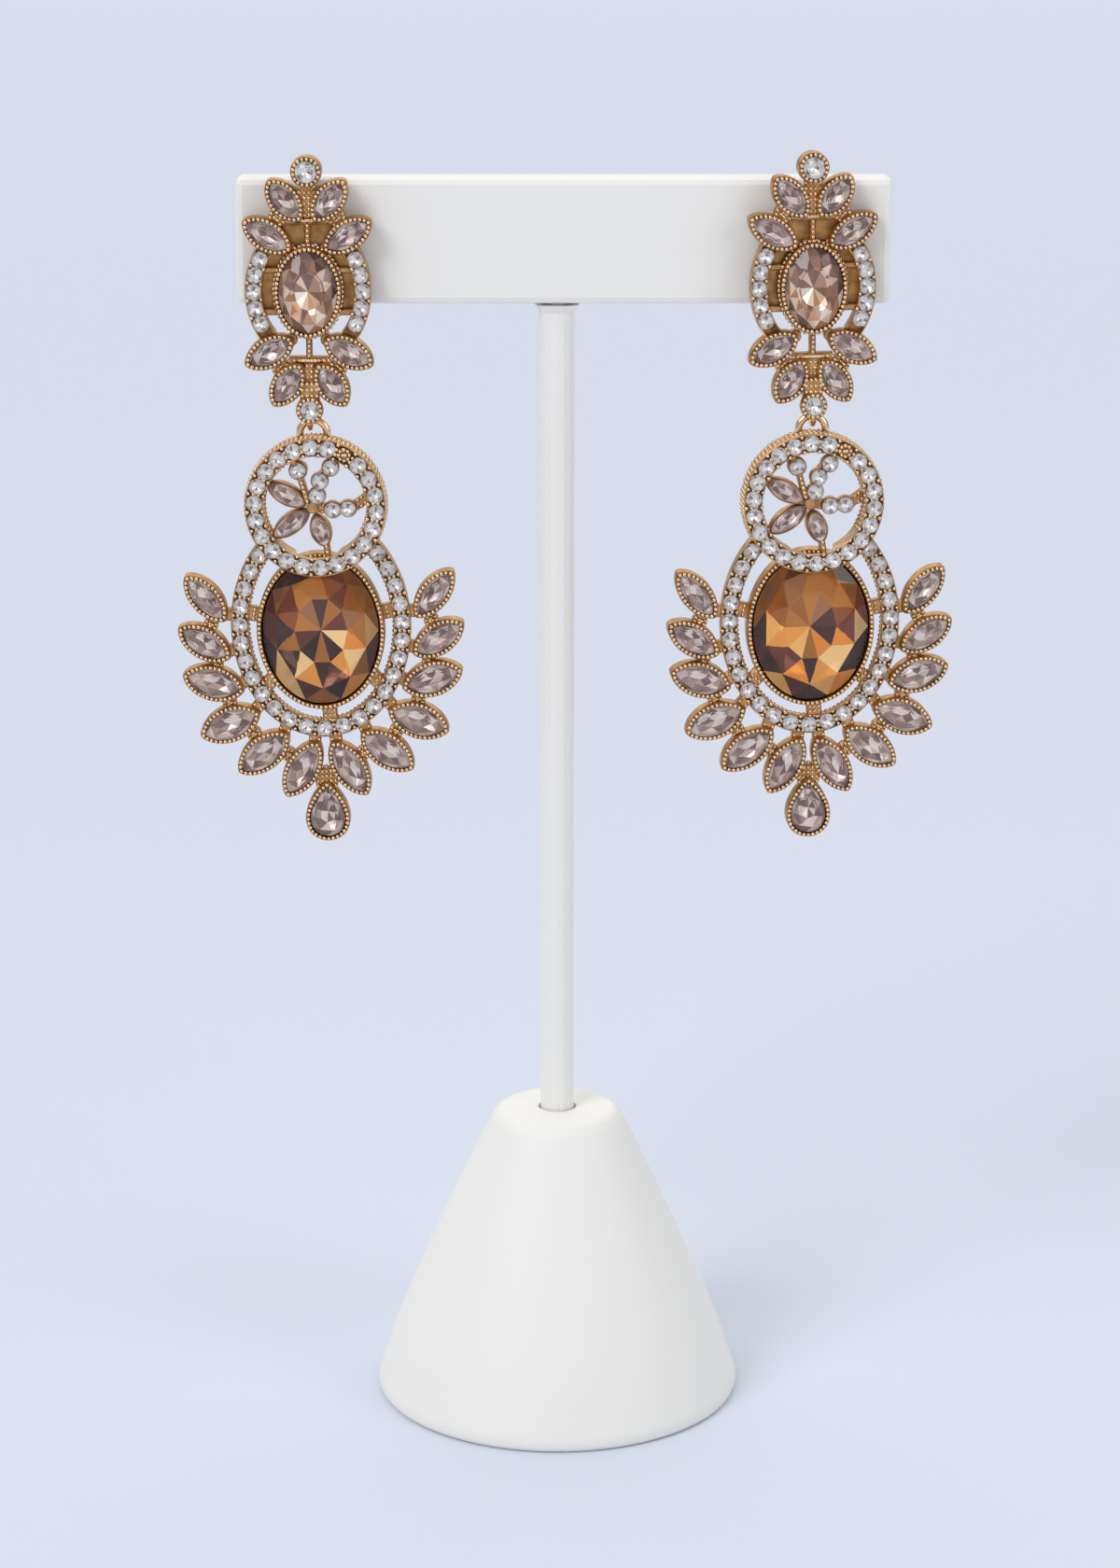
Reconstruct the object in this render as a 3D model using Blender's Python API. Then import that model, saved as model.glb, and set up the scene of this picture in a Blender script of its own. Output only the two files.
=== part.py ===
"""A pair of chandelier earrings hanging on a T-shaped display stand, in metres, +Z up.

The stand's foot rests on Z = 0 and its centre is the origin. The jewels face -Y. Each earring is a stud,
whose post goes through the bar, and a drop, whose bail swings in the stud's loop about a level axis.
Each metal frame is drawn as outlines in its own plane, and each outline fills or clears a range of depth.
"""

import math

import bmesh
import bpy
import numpy as np
from mathutils import Matrix, Vector
from mathutils.geometry import delaunay_2d_cdt

MM = 0.001

# Stand
BASE_RADIUS = 23.1 * MM
BASE_HEIGHT = 37.4 * MM
SOCKET_DEPTH = 12.0 * MM
STEM_RADIUS = 2.1 * MM
STEM_FLARE_RADIUS = 2.7 * MM
STEM_FLARE_HEIGHT = 0.9 * MM
TENON_RADIUS = 1.2 * MM
TENON_LENGTH = 5.0 * MM
BAR_WIDTH = 78.0 * MM
BAR_HEIGHT = 15.0 * MM
BAR_THICKNESS = 5.0 * MM
BAR_BOTTOM = 139.9 * MM
BAR_ACROSS = 0.8 * MM
BAR_EDGE = 0.8 * MM
POST_HOLE_RADIUS = 1.2 * MM
FIT_GAP = 0.3 * MM

# The base's side as shares of BASE_HEIGHT and BASE_RADIUS
BASE_PROFILE = [
    # height, radius
    (0.0, 0.972),
    (0.022, 1.0),
    (0.26, 0.868),
    (0.607, 0.63),
    (0.925, 0.393),
    (0.985, 0.335),
    (1.0, 0.28),
]

# Stones and their settings
STONE_GAP = 0.15 * MM
FLOOR = 0.5 * MM
CUP_WALL = 0.5 * MM
# How many times CUP_WALL the wall measures at a pointed tip
TIP_SHARE = 1.3
PAVE_RADIUS = 0.88 * MM
PAVE_RISE = 0.42 * MM
PAVE_TABLE = 0.62

# Stud, measured from the centre of its oval stone
OVAL_HALF_WIDTH = 3.45 * MM
OVAL_HALF_HEIGHT = 4.85 * MM
OVAL_WALL = 0.6 * MM
OVAL_RIM = 2.7 * MM
OVAL_CROWN = 1.1 * MM
OVAL_SEAT = 0.25 * MM
STUD_CUP_RIM = 2.1 * MM
STUD_LEAF_LENGTH = 6.5 * MM
STUD_LEAF_WIDTH = 3.8 * MM
STUD_WEB = 1.4 * MM
ARC_HALF_WIDTH = 6.5 * MM
ARC_HALF_HEIGHT = 7.9 * MM
ARC_BAND = 2.0 * MM
ARC_REACH = 44.0
ARC_STONE_REACH = 29.0
ARC_STONES = 5
ARC_RIM = 1.9 * MM
PIN_HEIGHT = 2.5 * MM
PIN_WIDTH = 0.7 * MM
SPINE_WIDTH = 0.7 * MM
JOINT_RADIUS = 1.1 * MM
YOKE_WIDTH = 1.8 * MM
NECK_WIDTH = 2.3 * MM
PIERCING_RADIUS = 0.32 * MM
# The crossbars, the yoke's end, the neck's top and the piercing as shares of the oval setting's half height
CROSSBAR_UP = 1.54
CROSSBAR_DOWN = -1.52
YOKE_END = -2.08
NECK_TOP = -2.02
PIERCING_UP = 2.18
CROSSBAR_HEIGHT = 0.9 * MM
CROSSBAR_HALF_LENGTH = 2.4 * MM
TOP_ROUND_HEIGHT = 14.2 * MM
TOP_ROUND_RADIUS = 1.85 * MM
TOP_ROUND_STONE = 1.3 * MM
TOP_ROUND_RIM = 2.6 * MM
BOTTOM_ROUND_HEIGHT = -14.1 * MM
BOTTOM_ROUND_RADIUS = 1.65 * MM
BOTTOM_ROUND_STONE = 1.15 * MM
BOTTOM_ROUND_BACK = 1.7 * MM
BOTTOM_ROUND_RIM = 2.7 * MM
ROUND_STONE_RISE = 0.55 * MM
STANDOFF = 1.05 * MM
POST_RADIUS = 0.4 * MM
POST_LENGTH = 10.2 * MM
POST_HEIGHT = 4.6 * MM

# A pair of stud leaves per row. The root is where the leaf's inner tip sits, as shares of the oval
# setting's half width and half height. The direction is in degrees above the horizontal, and the length
# is a share of STUD_LEAF_LENGTH.
STUD_LEAVES = [
    # root across, root up, direction, length
    (0.17, 1.53, 51.4, 0.96),
    (0.46, 0.88, 32.3, 1.05),
    (0.44, -1.03, -29.0, 1.03),
    (0.23, -1.58, -55.8, 0.95),
]

# Plates that join neighbouring stud leaves, as shares of the oval setting's half width and half height
WEB_JOINTS = [
    # across, up
    (0.86, 1.6),
    (0.84, -1.7),
]

# Link between stud and drop
BAIL_WIRE_RADIUS = 0.47 * MM
BAIL_RADIUS = 1.62 * MM
LINK_GAP = 0.15 * MM
LOOP_WIRE_RADIUS = 0.35 * MM
LOOP_RADIUS = 1.4 * MM
HINGE_DROP = 15.5 * MM
HINGE_DEPTH = 0.9 * MM
# Depth of the drop's balance point in front of its back, where the bail stands so that it hangs plumb
DROP_BALANCE = 1.5 * MM
WIRE_SIDES = 5
LOOP_STEPS = 11
BAIL_STEPS = 9

# Drop, measured from the centre of its stone-set oval ring
RING_HALF_WIDTH = 9.9 * MM
RING_HALF_HEIGHT = 12.9 * MM
RING_BAND = 2.1 * MM
RING_RIM = 1.5 * MM
RING_STONES = 25
MAIN_HALF_WIDTH = 7.0 * MM
MAIN_HALF_HEIGHT = 8.95 * MM
MAIN_HEIGHT = -0.55 * MM
MAIN_WALL = 0.8 * MM
MAIN_RIM = 2.4 * MM
MAIN_FLOOR = 0.4 * MM
MAIN_CROWN = 1.3 * MM
MAIN_SEAT = 0.25 * MM
MAIN_PAVILION = 1.4 * MM
GIRDLE = 0.3 * MM
BRIDGE_WIDTH = 1.8 * MM
BRIDGE_DEPTH = 1.2 * MM
BRIDGE_ANGLES = (11.0, 169.0, 227.0, 273.5, 313.0)
LEAF_LENGTH = 7.75 * MM
LEAF_WIDTH = 4.4 * MM
LEAF_RIM = 2.0 * MM
LEAF_ROOT_OFFSET = 0.6 * MM
ROOT_RADIUS = 0.75 * MM
ROOT_REACH = 1.1 * MM
WEB_DEPTH = 1.2 * MM
LEAF_CROWN = 0.75 * MM
LEAF_SEAT = 0.25 * MM
LEAF_PAVILION = 0.9 * MM
PEAR_LENGTH = 7.7 * MM
PEAR_WIDTH = 5.5 * MM
PEAR_HEIGHT = -23.3 * MM

# A pair of drop leaves per row. The angle places the inner tip on the ring's outer edge, the direction is
# in degrees above the horizontal, and length and width are shares of LEAF_LENGTH and LEAF_WIDTH.
DROP_LEAVES = [
    # angle, direction, length, width
    (3.3, 50.9, 0.96, 0.86),
    (-15.2, 32.6, 0.95, 0.93),
    (-33.3, 16.6, 1.0, 1.02),
    (-47.2, -21.1, 1.02, 1.03),
    (-67.4, -37.3, 1.02, 1.0),
    (-86.0, -58.7, 1.04, 0.96),
]

# Stone-set circle over the ring's top, with its flower
CIRCLE_RADIUS = 7.35 * MM
CIRCLE_BAND = 2.2 * MM
CIRCLE_HEIGHT = 15.1 * MM
CIRCLE_BACK = 0.8 * MM
CIRCLE_BRIDGE_BACK = 3.15 * MM
CIRCLE_RIM = 4.1 * MM
CIRCLE_PLACES = 22
CIRCLE_FIRST = 92.7
CIRCLE_BARE_PLACE = 20
BARE_BOSS_RADIUS = 0.7 * MM
FLOWER_BACK = 1.6 * MM
FLOWER_RIM = 3.5 * MM
HOOK_RIM = 3.5 * MM
HOOK_BAND = 1.9 * MM
HOOK_STONE = 0.85 * MM
PETAL_WIDTH = 2.4 * MM
PETAL_WALL = 0.32 * MM
PETAL_RISE = 0.45 * MM
STALK_WIDTH = 0.7 * MM
NODE_RADIUS = 0.7 * MM
BUD_RADIUS = 1.05 * MM
BUD_STONE = 0.8 * MM

# The flower's pieces as shares of CIRCLE_RADIUS from the circle's centre
PETALS = [
    # root across, root up, tip across, tip up
    (-0.15, 0.02, -0.778, 0.39),
    (-0.1, -0.06, -0.714, -0.495),
    (-0.02, -0.135, 0.163, -0.68),
]
HOOK_UPPER = [
    # across, up
    (0.36, 0.788),
    (0.265, 0.64),
    (0.085, 0.44),
    (0.03, 0.197),
    (-0.05, -0.014),
]
HOOK_LOWER = [
    # across, up
    (-0.05, -0.014),
    (0.279, -0.056),
    (0.62, -0.02),
    (0.856, 0.13),
]
HOOK_STONES = [
    # across, up
    (0.265, 0.64),
    (0.085, 0.425),
    (0.03, 0.18),
    (0.279, -0.054),
    (0.53, -0.041),
]
BUD_PLACE = (-0.265, 0.6)
NODE_PLACE = (-0.05, -0.014)
STALKS = [
    # from across, from up, to across, to up
    (-0.31, 0.7, -0.36, 0.79),
    (-0.235, 0.49, -0.13, 0.1),
    (0.156, -0.66, 0.18, -0.845),
]

# Where each earring hangs: across from the bar's middle as a share of its half width, and up from its lower
# edge. The lean and the turn are in degrees, and the slide is how far the bail sits from the middle of its loop.
EARRINGS = [
    # side, across, up, stud lean, turn, drop lean, slide
    ("left", -0.77821, 1.9 * MM, 0.0, 0.0, 1.2, 0.3 * MM),
    ("right", 0.75513, 2.4 * MM, 0.9, 4.5, 0.4, 0.0 * MM),
]

OVAL_SIDES = 16
RING_SIDES = 28
MAIN_SIDES = 24
CIRCLE_SIDES = 24
LEAF_SIDES = 12
PEAR_SIDES = 14
ROUND_SIDES = 10
GIRDLE_SIDES = 8
TABLE_SIDES = 4
TURNED_SIDES = 32
STEM_SIDES = 16


def clear_scene():
    for item in list(bpy.data.objects):
        bpy.data.objects.remove(item, do_unlink=True)


def material(name, color, roughness, metallic=0.0, transmission=0.0):
    made = bpy.data.materials.new(name)
    made.use_nodes = True
    shader = made.node_tree.nodes["Principled BSDF"]
    shader.inputs["Base Color"].default_value = (*color, 1.0)
    shader.inputs["Roughness"].default_value = roughness
    shader.inputs["Metallic"].default_value = metallic
    shader.inputs["Transmission Weight"].default_value = transmission
    made.diffuse_color = (*color, 1.0)
    return made


def add_object(name, mesh, finish=None, parent=None):
    made = bpy.data.objects.new(name, mesh)
    bpy.context.collection.objects.link(made)
    made.parent = parent
    if finish and not mesh.materials:
        mesh.materials.append(finish)
    return made


def mesh_from(bm, name):
    mesh = bpy.data.meshes.new(name)
    bm.to_mesh(mesh)
    bm.free()
    return mesh


# Outlines are lists of (across, up) points that run anticlockwise as the viewer sees them

def ellipse(half_width, half_height, sides, start=0.0, end=360.0):
    closed = end - start == 360.0
    steps = sides if closed else sides - 1
    angles = [math.radians(start + (end - start) * i / steps) for i in range(sides)]
    return [(half_width * math.cos(a), half_height * math.sin(a)) for a in angles]


def marquise(length, width, sides, power=1.35):
    """A pointed oval. A higher power makes the tips sharper."""
    points = []
    for i in range(sides):
        angle = 2 * math.pi * i / sides
        side = math.copysign(abs(math.sin(angle)) ** power, math.sin(angle))
        points.append((length / 2 * math.cos(angle), width / 2 * side))
    return points


def pear(length, width, sides):
    """A drop shape with its point up."""
    taper = 0.7
    widest = max(math.sin(a) * math.sin(a / 2) ** taper for a in np.linspace(0.01, 3.13, 200))
    points = []
    for i in range(sides):
        angle = -2 * math.pi * i / sides
        belly = math.sin(angle) * abs(math.sin(angle / 2)) ** taper / widest
        points.append((width / 2 * belly, length / 2 * math.cos(angle)))
    return points


def moved(outline, across, up, turn=0.0):
    cosine, sine = math.cos(math.radians(turn)), math.sin(math.radians(turn))
    return [(across + u * cosine - v * sine, up + u * sine + v * cosine) for u, v in outline]


def scaled(outline, factor):
    return [(u * factor, v * factor) for u, v in outline]


def mirrored(outline):
    return [(-u, v) for u, v in reversed(outline)]


def disc(radius, across, up, sides=ROUND_SIDES):
    return moved(ellipse(radius, radius, sides), across, up)


def ribbon(path, width):
    """The outline of a band of even width along a path."""
    path = [Vector(p) for p in path]
    left, right = [], []
    for i, point in enumerate(path):
        ahead = path[min(i + 1, len(path) - 1)] - path[max(i - 1, 0)]
        side = Vector((-ahead.y, ahead.x)).normalized() * width / 2
        left.append(tuple(point + side))
        right.append(tuple(point - side))
    return right + left[::-1]


def curved(path, steps=3):
    """More points along a smooth curve through a path's points."""
    points = [Vector(p) for p in path]
    ends = [2 * points[0] - points[1]] + points + [2 * points[-1] - points[-2]]
    result = []
    for a, b, c, d in zip(ends, ends[1:], ends[2:], ends[3:]):
        for step in range(steps):
            t = step / steps
            bend = (2 * a - 5 * b + 4 * c - d) * t * t + (3 * b - a - 3 * c + d) * t ** 3
            result.append(tuple(b + ((c - a) * t + bend) / 2))
    result.append(tuple(points[-1]))
    return result


def spread_along(outline_at, start, end, count):
    """Evenly spaced points along a curve that outline_at gives for an angle."""
    samples = 400
    angles = np.linspace(start, end, samples)
    points = np.array([outline_at(a) for a in angles])
    steps = np.hypot(*np.diff(points, axis=0).T)
    length = np.concatenate([[0.0], np.cumsum(steps)])
    places = np.linspace(0.0, length[-1], count)
    return [outline_at(a) for a in np.interp(places, length, angles)]


def inside(outline, spots):
    """Which of an array of spots lie inside an outline."""
    result = np.zeros(len(spots), bool)
    across, up = spots.T
    for (u0, v0), (u1, v1) in zip(outline, outline[1:] + outline[:1]):
        crosses = (v0 > up) != (v1 > up)
        rise = v1 - v0 if v1 != v0 else 1.0
        result ^= crosses & (across < u0 + (up - v0) * (u1 - u0) / rise)
    return result


def filled(spans, low, high):
    apart = [s for s in spans if s[1] < low or s[0] > high]
    joined = [s for s in spans if s not in apart] + [(low, high)]
    return sorted(apart + [(min(s[0] for s in joined), max(s[1] for s in joined))])


def cleared(spans, low, high):
    pieces = []
    for start, end in spans:
        if start < low:
            pieces.append((start, min(end, low)))
        if end > high:
            pieces.append((max(start, high), end))
    return pieces


class Plan:
    """A flat ornament drawn as outlines, each of which fills or clears a range of depth.

    Depth is measured from the ornament's back towards the viewer. Stones are raised facets on a filled part.
    """

    def __init__(self):
        self.steps = []
        self.stones = []

    def fill(self, low, high, outline, hole=()):
        self.steps.append((filled, low, high, outline, list(hole)))

    def clear(self, low, high, outline):
        self.steps.append((cleared, low, high, outline, []))

    def set_stone(self, base, rise, girdle, table):
        self.stones.append((base, base + rise, girdle, table))

    def set_round(self, base, rise, radius, across, up, turn=0.0):
        girdle = ellipse(radius, radius, GIRDLE_SIDES)
        table = ellipse(radius * PAVE_TABLE, radius * PAVE_TABLE, TABLE_SIDES)
        self.set_stone(base, rise, moved(girdle, across, up, turn), moved(table, across, up, turn))

    def triangles(self):
        """The plane cut into triangles along every outline, in millimetres."""
        outlines = [o for step in self.steps for o in step[3:] if o]
        outlines += [o for stone in self.stones for o in stone[2:]]
        points, edges = [], []
        for outline in outlines:
            first, count = len(points), len(outline)
            points += [Vector(p) / MM for p in outline]
            edges += [(first + i, first + (i + 1) % count) for i in range(count)]
        corners, _, faces, _, _, _ = delaunay_2d_cdt(points, edges, [], 0, 1e-5)
        cells = []
        for a, b, c in faces:
            turns_left = (corners[b] - corners[a]).cross(corners[c] - corners[a]) > 0
            cells.append((a, b, c) if turns_left else (a, c, b))
        return [tuple(c) for c in corners], cells

    def spans(self, corners, cells):
        """Each triangle's filled ranges of depth and the stone that it is part of."""
        middles = np.array([[corners[i] for i in cell] for cell in cells]).mean(axis=1) * MM
        spans = [[] for _ in cells]
        for change, low, high, outline, hole in self.steps:
            hit = inside(outline, middles)
            if hole:
                hit &= ~inside(hole, middles)
            for i in np.flatnonzero(hit):
                spans[i] = change(spans[i], low, high)
        stone_of = [None] * len(cells)
        for number, (base, _, girdle, _) in enumerate(self.stones):
            for i in np.flatnonzero(inside(girdle, middles)):
                if spans[i] and abs(spans[i][-1][1] - base) < 1e-9:
                    stone_of[i] = number
        return spans, stone_of

    def mesh(self, name):
        corners, cells = self.triangles()
        spans, stone_of = self.spans(corners, cells)
        tables = [{(round(u / MM, 3), round(v / MM, 3)) for u, v in stone[3]} for stone in self.stones]
        rounded = [(round(u, 3), round(v, 3)) for u, v in corners]
        levels = [set() for _ in corners]
        for cell, ranges in zip(cells, spans):
            for i in cell:
                levels[i].update(z for span in ranges for z in span)
        bm = bmesh.new()
        made = {}

        def vertex(i, depth):
            key = (i, round(depth / MM, 5))
            if key not in made:
                u, v = corners[i]
                made[key] = bm.verts.new((u * MM, -depth, v * MM))
            return made[key]

        def front(i, depth, stone):
            if stone is not None and rounded[i] in tables[stone]:
                depth = self.stones[stone][1]
            return vertex(i, depth)

        neighbours = {}
        for number, cell in enumerate(cells):
            for i, j in zip(cell, cell[1:] + cell[:1]):
                neighbours[(i, j)] = number
        for number, cell in enumerate(cells):
            for place, (low, high) in enumerate(spans[number]):
                stone = stone_of[number] if place == len(spans[number]) - 1 else None
                bm.faces.new([front(i, high, stone) for i in cell])
                bm.faces.new([vertex(i, low) for i in reversed(cell)])
            for i, j in zip(cell, cell[1:] + cell[:1]):
                across = neighbours.get((j, i))
                bare = spans[number]
                for low, high in spans[across] if across is not None else []:
                    bare = cleared(bare, low, high)
                for low, high in bare:
                    up = [z for z in sorted(levels[i]) if low < z < high]
                    down = [z for z in sorted(levels[j], reverse=True) if low < z < high]
                    wall = [vertex(i, z) for z in [high] + up[::-1] + [low]]
                    wall += [vertex(j, z) for z in [low] + down[::-1] + [high]]
                    bm.faces.new(wall)
        bm.normal_update()
        join_flat_faces(bm)
        return mesh_from(bm, name)


def join_flat_faces(bm):
    """Merges the triangles of each flat face into as few as its outline needs."""
    bmesh.ops.dissolve_limit(bm, angle_limit=math.radians(0.2), verts=bm.verts, edges=bm.edges)
    many_sided = [f for f in bm.faces if len(f.verts) > 3]
    bmesh.ops.triangulate(bm, faces=many_sided)


def lathe(name, profile, sides=TURNED_SIDES):
    """A solid turned about Z from (radius, height) rows that run from the bottom of its axis to the top."""
    bm = bmesh.new()
    verts = [bm.verts.new((radius, 0.0, height)) for radius, height in profile]
    edges = [bm.edges.new(pair) for pair in zip(verts, verts[1:])]
    axis = dict(cent=(0, 0, 0), axis=(0, 0, 1), angle=2 * math.pi, steps=sides, use_merge=False)
    bmesh.ops.spin(bm, geom=verts + edges, **axis)
    bmesh.ops.remove_doubles(bm, verts=bm.verts, dist=1e-6)
    bmesh.ops.recalc_face_normals(bm, faces=bm.faces)
    mesh = mesh_from(bm, name)
    mesh.shade_smooth()
    mesh.set_sharp_from_angle(angle=math.radians(40))
    return mesh


def wire(name, path, radius, closed=False):
    """A round wire along a path in the local YZ or XZ plane."""
    bm = bmesh.new()
    rings = []
    count = len(path)
    middle = sum((Vector(p) for p in path), Vector()) / count
    flat = (Vector(path[0]) - middle).cross(Vector(path[count // 3]) - middle).normalized()
    for i, point in enumerate(path):
        before = path[(i - 1) % count] if closed or i else point
        after = path[(i + 1) % count] if closed or i < count - 1 else point
        along = (Vector(after) - Vector(before)).normalized()
        side = along.cross(flat)
        ring = []
        for k in range(WIRE_SIDES):
            angle = 2 * math.pi * (k + 0.5) / WIRE_SIDES
            spoke = flat * math.cos(angle) + side * math.sin(angle)
            ring.append(bm.verts.new(Vector(point) + spoke * radius))
        rings.append(ring)
    pairs = zip(rings, rings[1:] + rings[:1]) if closed else zip(rings, rings[1:])
    for first, second in pairs:
        for k in range(WIRE_SIDES):
            n = (k + 1) % WIRE_SIDES
            bm.faces.new((first[k], first[n], second[n], second[k]))
    if not closed:
        bm.faces.new(rings[0][::-1])
        bm.faces.new(rings[-1])
    bmesh.ops.recalc_face_normals(bm, faces=bm.faces)
    return mesh_from(bm, name)


def fused(mesh, extras):
    """One mesh from a frame and the wires soldered to it."""
    frame = add_object("frame", mesh)
    helpers = []
    for extra in extras:
        helper = add_object("solder", extra)
        join = frame.modifiers.new("join", "BOOLEAN")
        join.operation = "UNION"
        join.object = helper
        helpers.append(helper)
    depsgraph = bpy.context.evaluated_depsgraph_get()
    result = bpy.data.meshes.new_from_object(frame.evaluated_get(depsgraph))
    for item in [frame, *helpers]:
        bpy.data.objects.remove(item, do_unlink=True)
    return result


def cut_stone(name, outline, crown, pavilion, table=0.56, girdle=0.0, stars=True, finish=None):
    """A faceted stone. The outline has twice as many points as the table has sides.

    The stone lies in the local XZ plane with its table facing -Y and its upper girdle at Y = 0. A stone
    with stars is brilliant cut, and one without has only the facets that meet both table and girdle.
    """
    half = len(outline) // 2
    star = (1 + table) / 2
    narrow = math.cos(math.pi / half)
    star_rise = crown * (1 - star * narrow) / (1 - table)
    bm = bmesh.new()

    def ring(points, share, depth):
        return [bm.verts.new((u * share, -depth, v * share)) for u, v in points]

    top = ring(outline[0::2], table, crown)
    upper = ring(outline, 1.0, 0.0)
    lower = ring(outline, 1.0, -girdle) if girdle else upper
    culet = bm.verts.new((0.0, girdle + pavilion, 0.0))
    points = ring(outline[1::2], star, star_rise) if stars else []
    bm.faces.new(top)
    for k in range(half):
        n = (k + 1) % half
        edge, mid, after = 2 * k, 2 * k + 1, 2 * n
        if stars:
            bm.faces.new((top[k], points[k], top[n]))
            bm.faces.new((top[k], points[k - 1], upper[edge], points[k]))
            bm.faces.new((points[k], upper[edge], upper[mid]))
            bm.faces.new((points[k], upper[mid], upper[after]))
        else:
            bm.faces.new((top[k], upper[mid], top[n]))
            bm.faces.new((top[k], upper[edge], upper[mid]))
            bm.faces.new((top[n], upper[mid], upper[after]))
    for j in range(2 * half):
        n = (j + 1) % (2 * half)
        if girdle:
            bm.faces.new((upper[j], lower[j], lower[n], upper[n]))
        bm.faces.new((lower[j], culet, lower[n]))
    bmesh.ops.recalc_face_normals(bm, faces=bm.faces)
    mesh = mesh_from(bm, name)
    if finish:
        mesh.materials.append(finish)
    return mesh


def box(name, size, middle):
    bm = bmesh.new()
    bmesh.ops.create_cube(bm, size=1.0)
    bmesh.ops.scale(bm, vec=size, verts=bm.verts)
    bmesh.ops.translate(bm, vec=middle, verts=bm.verts)
    return mesh_from(bm, name)


def peg(name, radius, start, end, sides=ROUND_SIDES):
    """A round peg between two points."""
    start, end = Vector(start), Vector(end)
    bm = bmesh.new()
    turn = (end - start).to_track_quat("Z", "Y").to_matrix().to_4x4()
    place = Matrix.Translation((start + end) / 2) @ turn
    sizes = dict(radius1=radius, radius2=radius, depth=(end - start).length)
    bmesh.ops.create_cone(bm, cap_ends=True, segments=sides, matrix=place, **sizes)
    return mesh_from(bm, name)


# Stand

def make_stand_base(finish):
    socket = STEM_RADIUS + FIT_GAP
    profile = [(0.0, 0.0)]
    profile += [(radius * BASE_RADIUS, height * BASE_HEIGHT) for height, radius in BASE_PROFILE]
    profile += [(socket, BASE_HEIGHT), (socket, BASE_HEIGHT - SOCKET_DEPTH), (0.0, BASE_HEIGHT - SOCKET_DEPTH)]
    return add_object("stand_base", lathe("stand_base", profile), finish)


def make_stand_stem(finish):
    bottom = BASE_HEIGHT - SOCKET_DEPTH + FIT_GAP
    top = BAR_BOTTOM - FIT_GAP
    profile = [
        (0.0, bottom),
        (STEM_RADIUS, bottom),
        (STEM_RADIUS, top - STEM_FLARE_HEIGHT),
        (STEM_FLARE_RADIUS, top),
        (TENON_RADIUS, top),
        (TENON_RADIUS, top + TENON_LENGTH),
        (0.0, top + TENON_LENGTH),
    ]
    return add_object("stand_stem", lathe("stand_stem", profile, STEM_SIDES), finish)


def stud_middle(share, up):
    """Where the middle of a stud's oval stone is, across and up."""
    return BAR_ACROSS + share * BAR_WIDTH / 2, BAR_BOTTOM + up


def make_stand_bar(finish):
    middle = (BAR_ACROSS, 0.0, BAR_BOTTOM + BAR_HEIGHT / 2)
    bar = add_object("stand_bar", box("stand_bar", (BAR_WIDTH, BAR_THICKNESS, BAR_HEIGHT), middle), finish)
    rounding = bar.modifiers.new("edges", "BEVEL")
    rounding.width = BAR_EDGE
    rounding.segments = 2
    mortise_top = BAR_BOTTOM + TENON_LENGTH + FIT_GAP
    cutters = [peg("tenon_hole", TENON_RADIUS + FIT_GAP, (0, 0, BAR_BOTTOM - MM), (0, 0, mortise_top))]
    for side, share, up, *_ in EARRINGS:
        across, height = stud_middle(share, up)
        near = (across, -BAR_THICKNESS, height + POST_HEIGHT)
        far = (across, BAR_THICKNESS, height + POST_HEIGHT)
        cutters.append(peg(side + "_post_hole", POST_HOLE_RADIUS, near, far))
    for cutter_mesh in cutters:
        cutter = add_object(cutter_mesh.name, cutter_mesh)
        cutter.hide_render = True
        cutter.display_type = "WIRE"
        cut = bar.modifiers.new(cutter_mesh.name, "BOOLEAN")
        cut.operation = "DIFFERENCE"
        cut.object = cutter
    return bar


# Settings

def leaf_cup(plan, rim, length, width, across, up, turn):
    """A pointed-oval cup with its inner hollow for a stone."""
    hollow = marquise(length - 2 * TIP_SHARE * CUP_WALL, width - 2 * CUP_WALL, LEAF_SIDES)
    plan.fill(0.0, rim, moved(marquise(length, width, LEAF_SIDES), across, up, turn))
    plan.clear(FLOOR, rim, moved(hollow, across, up, turn))


def leaf_stone_mesh(name, length, width, finish):
    """A stone that fits a cup of this length and width."""
    outline = marquise(length - 2 * TIP_SHARE * CUP_WALL - 2 * STONE_GAP, width - 2 * CUP_WALL - 2 * STONE_GAP, 12)
    return cut_stone(name, outline, LEAF_CROWN, LEAF_PAVILION, stars=False, finish=finish)


def stud_leaf_rows():
    """Centre, direction and length of each stud leaf."""
    half_width = OVAL_HALF_WIDTH + OVAL_WALL
    half_height = OVAL_HALF_HEIGHT + OVAL_WALL
    rows = []
    for root_across, root_up, direction, share in STUD_LEAVES:
        length = share * STUD_LEAF_LENGTH
        u = root_across * half_width + length / 2 * math.cos(math.radians(direction))
        v = root_up * half_height + length / 2 * math.sin(math.radians(direction))
        rows.append((u, v, direction, length))
        rows.append((-u, v, 180.0 - direction, length))
    return rows


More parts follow.
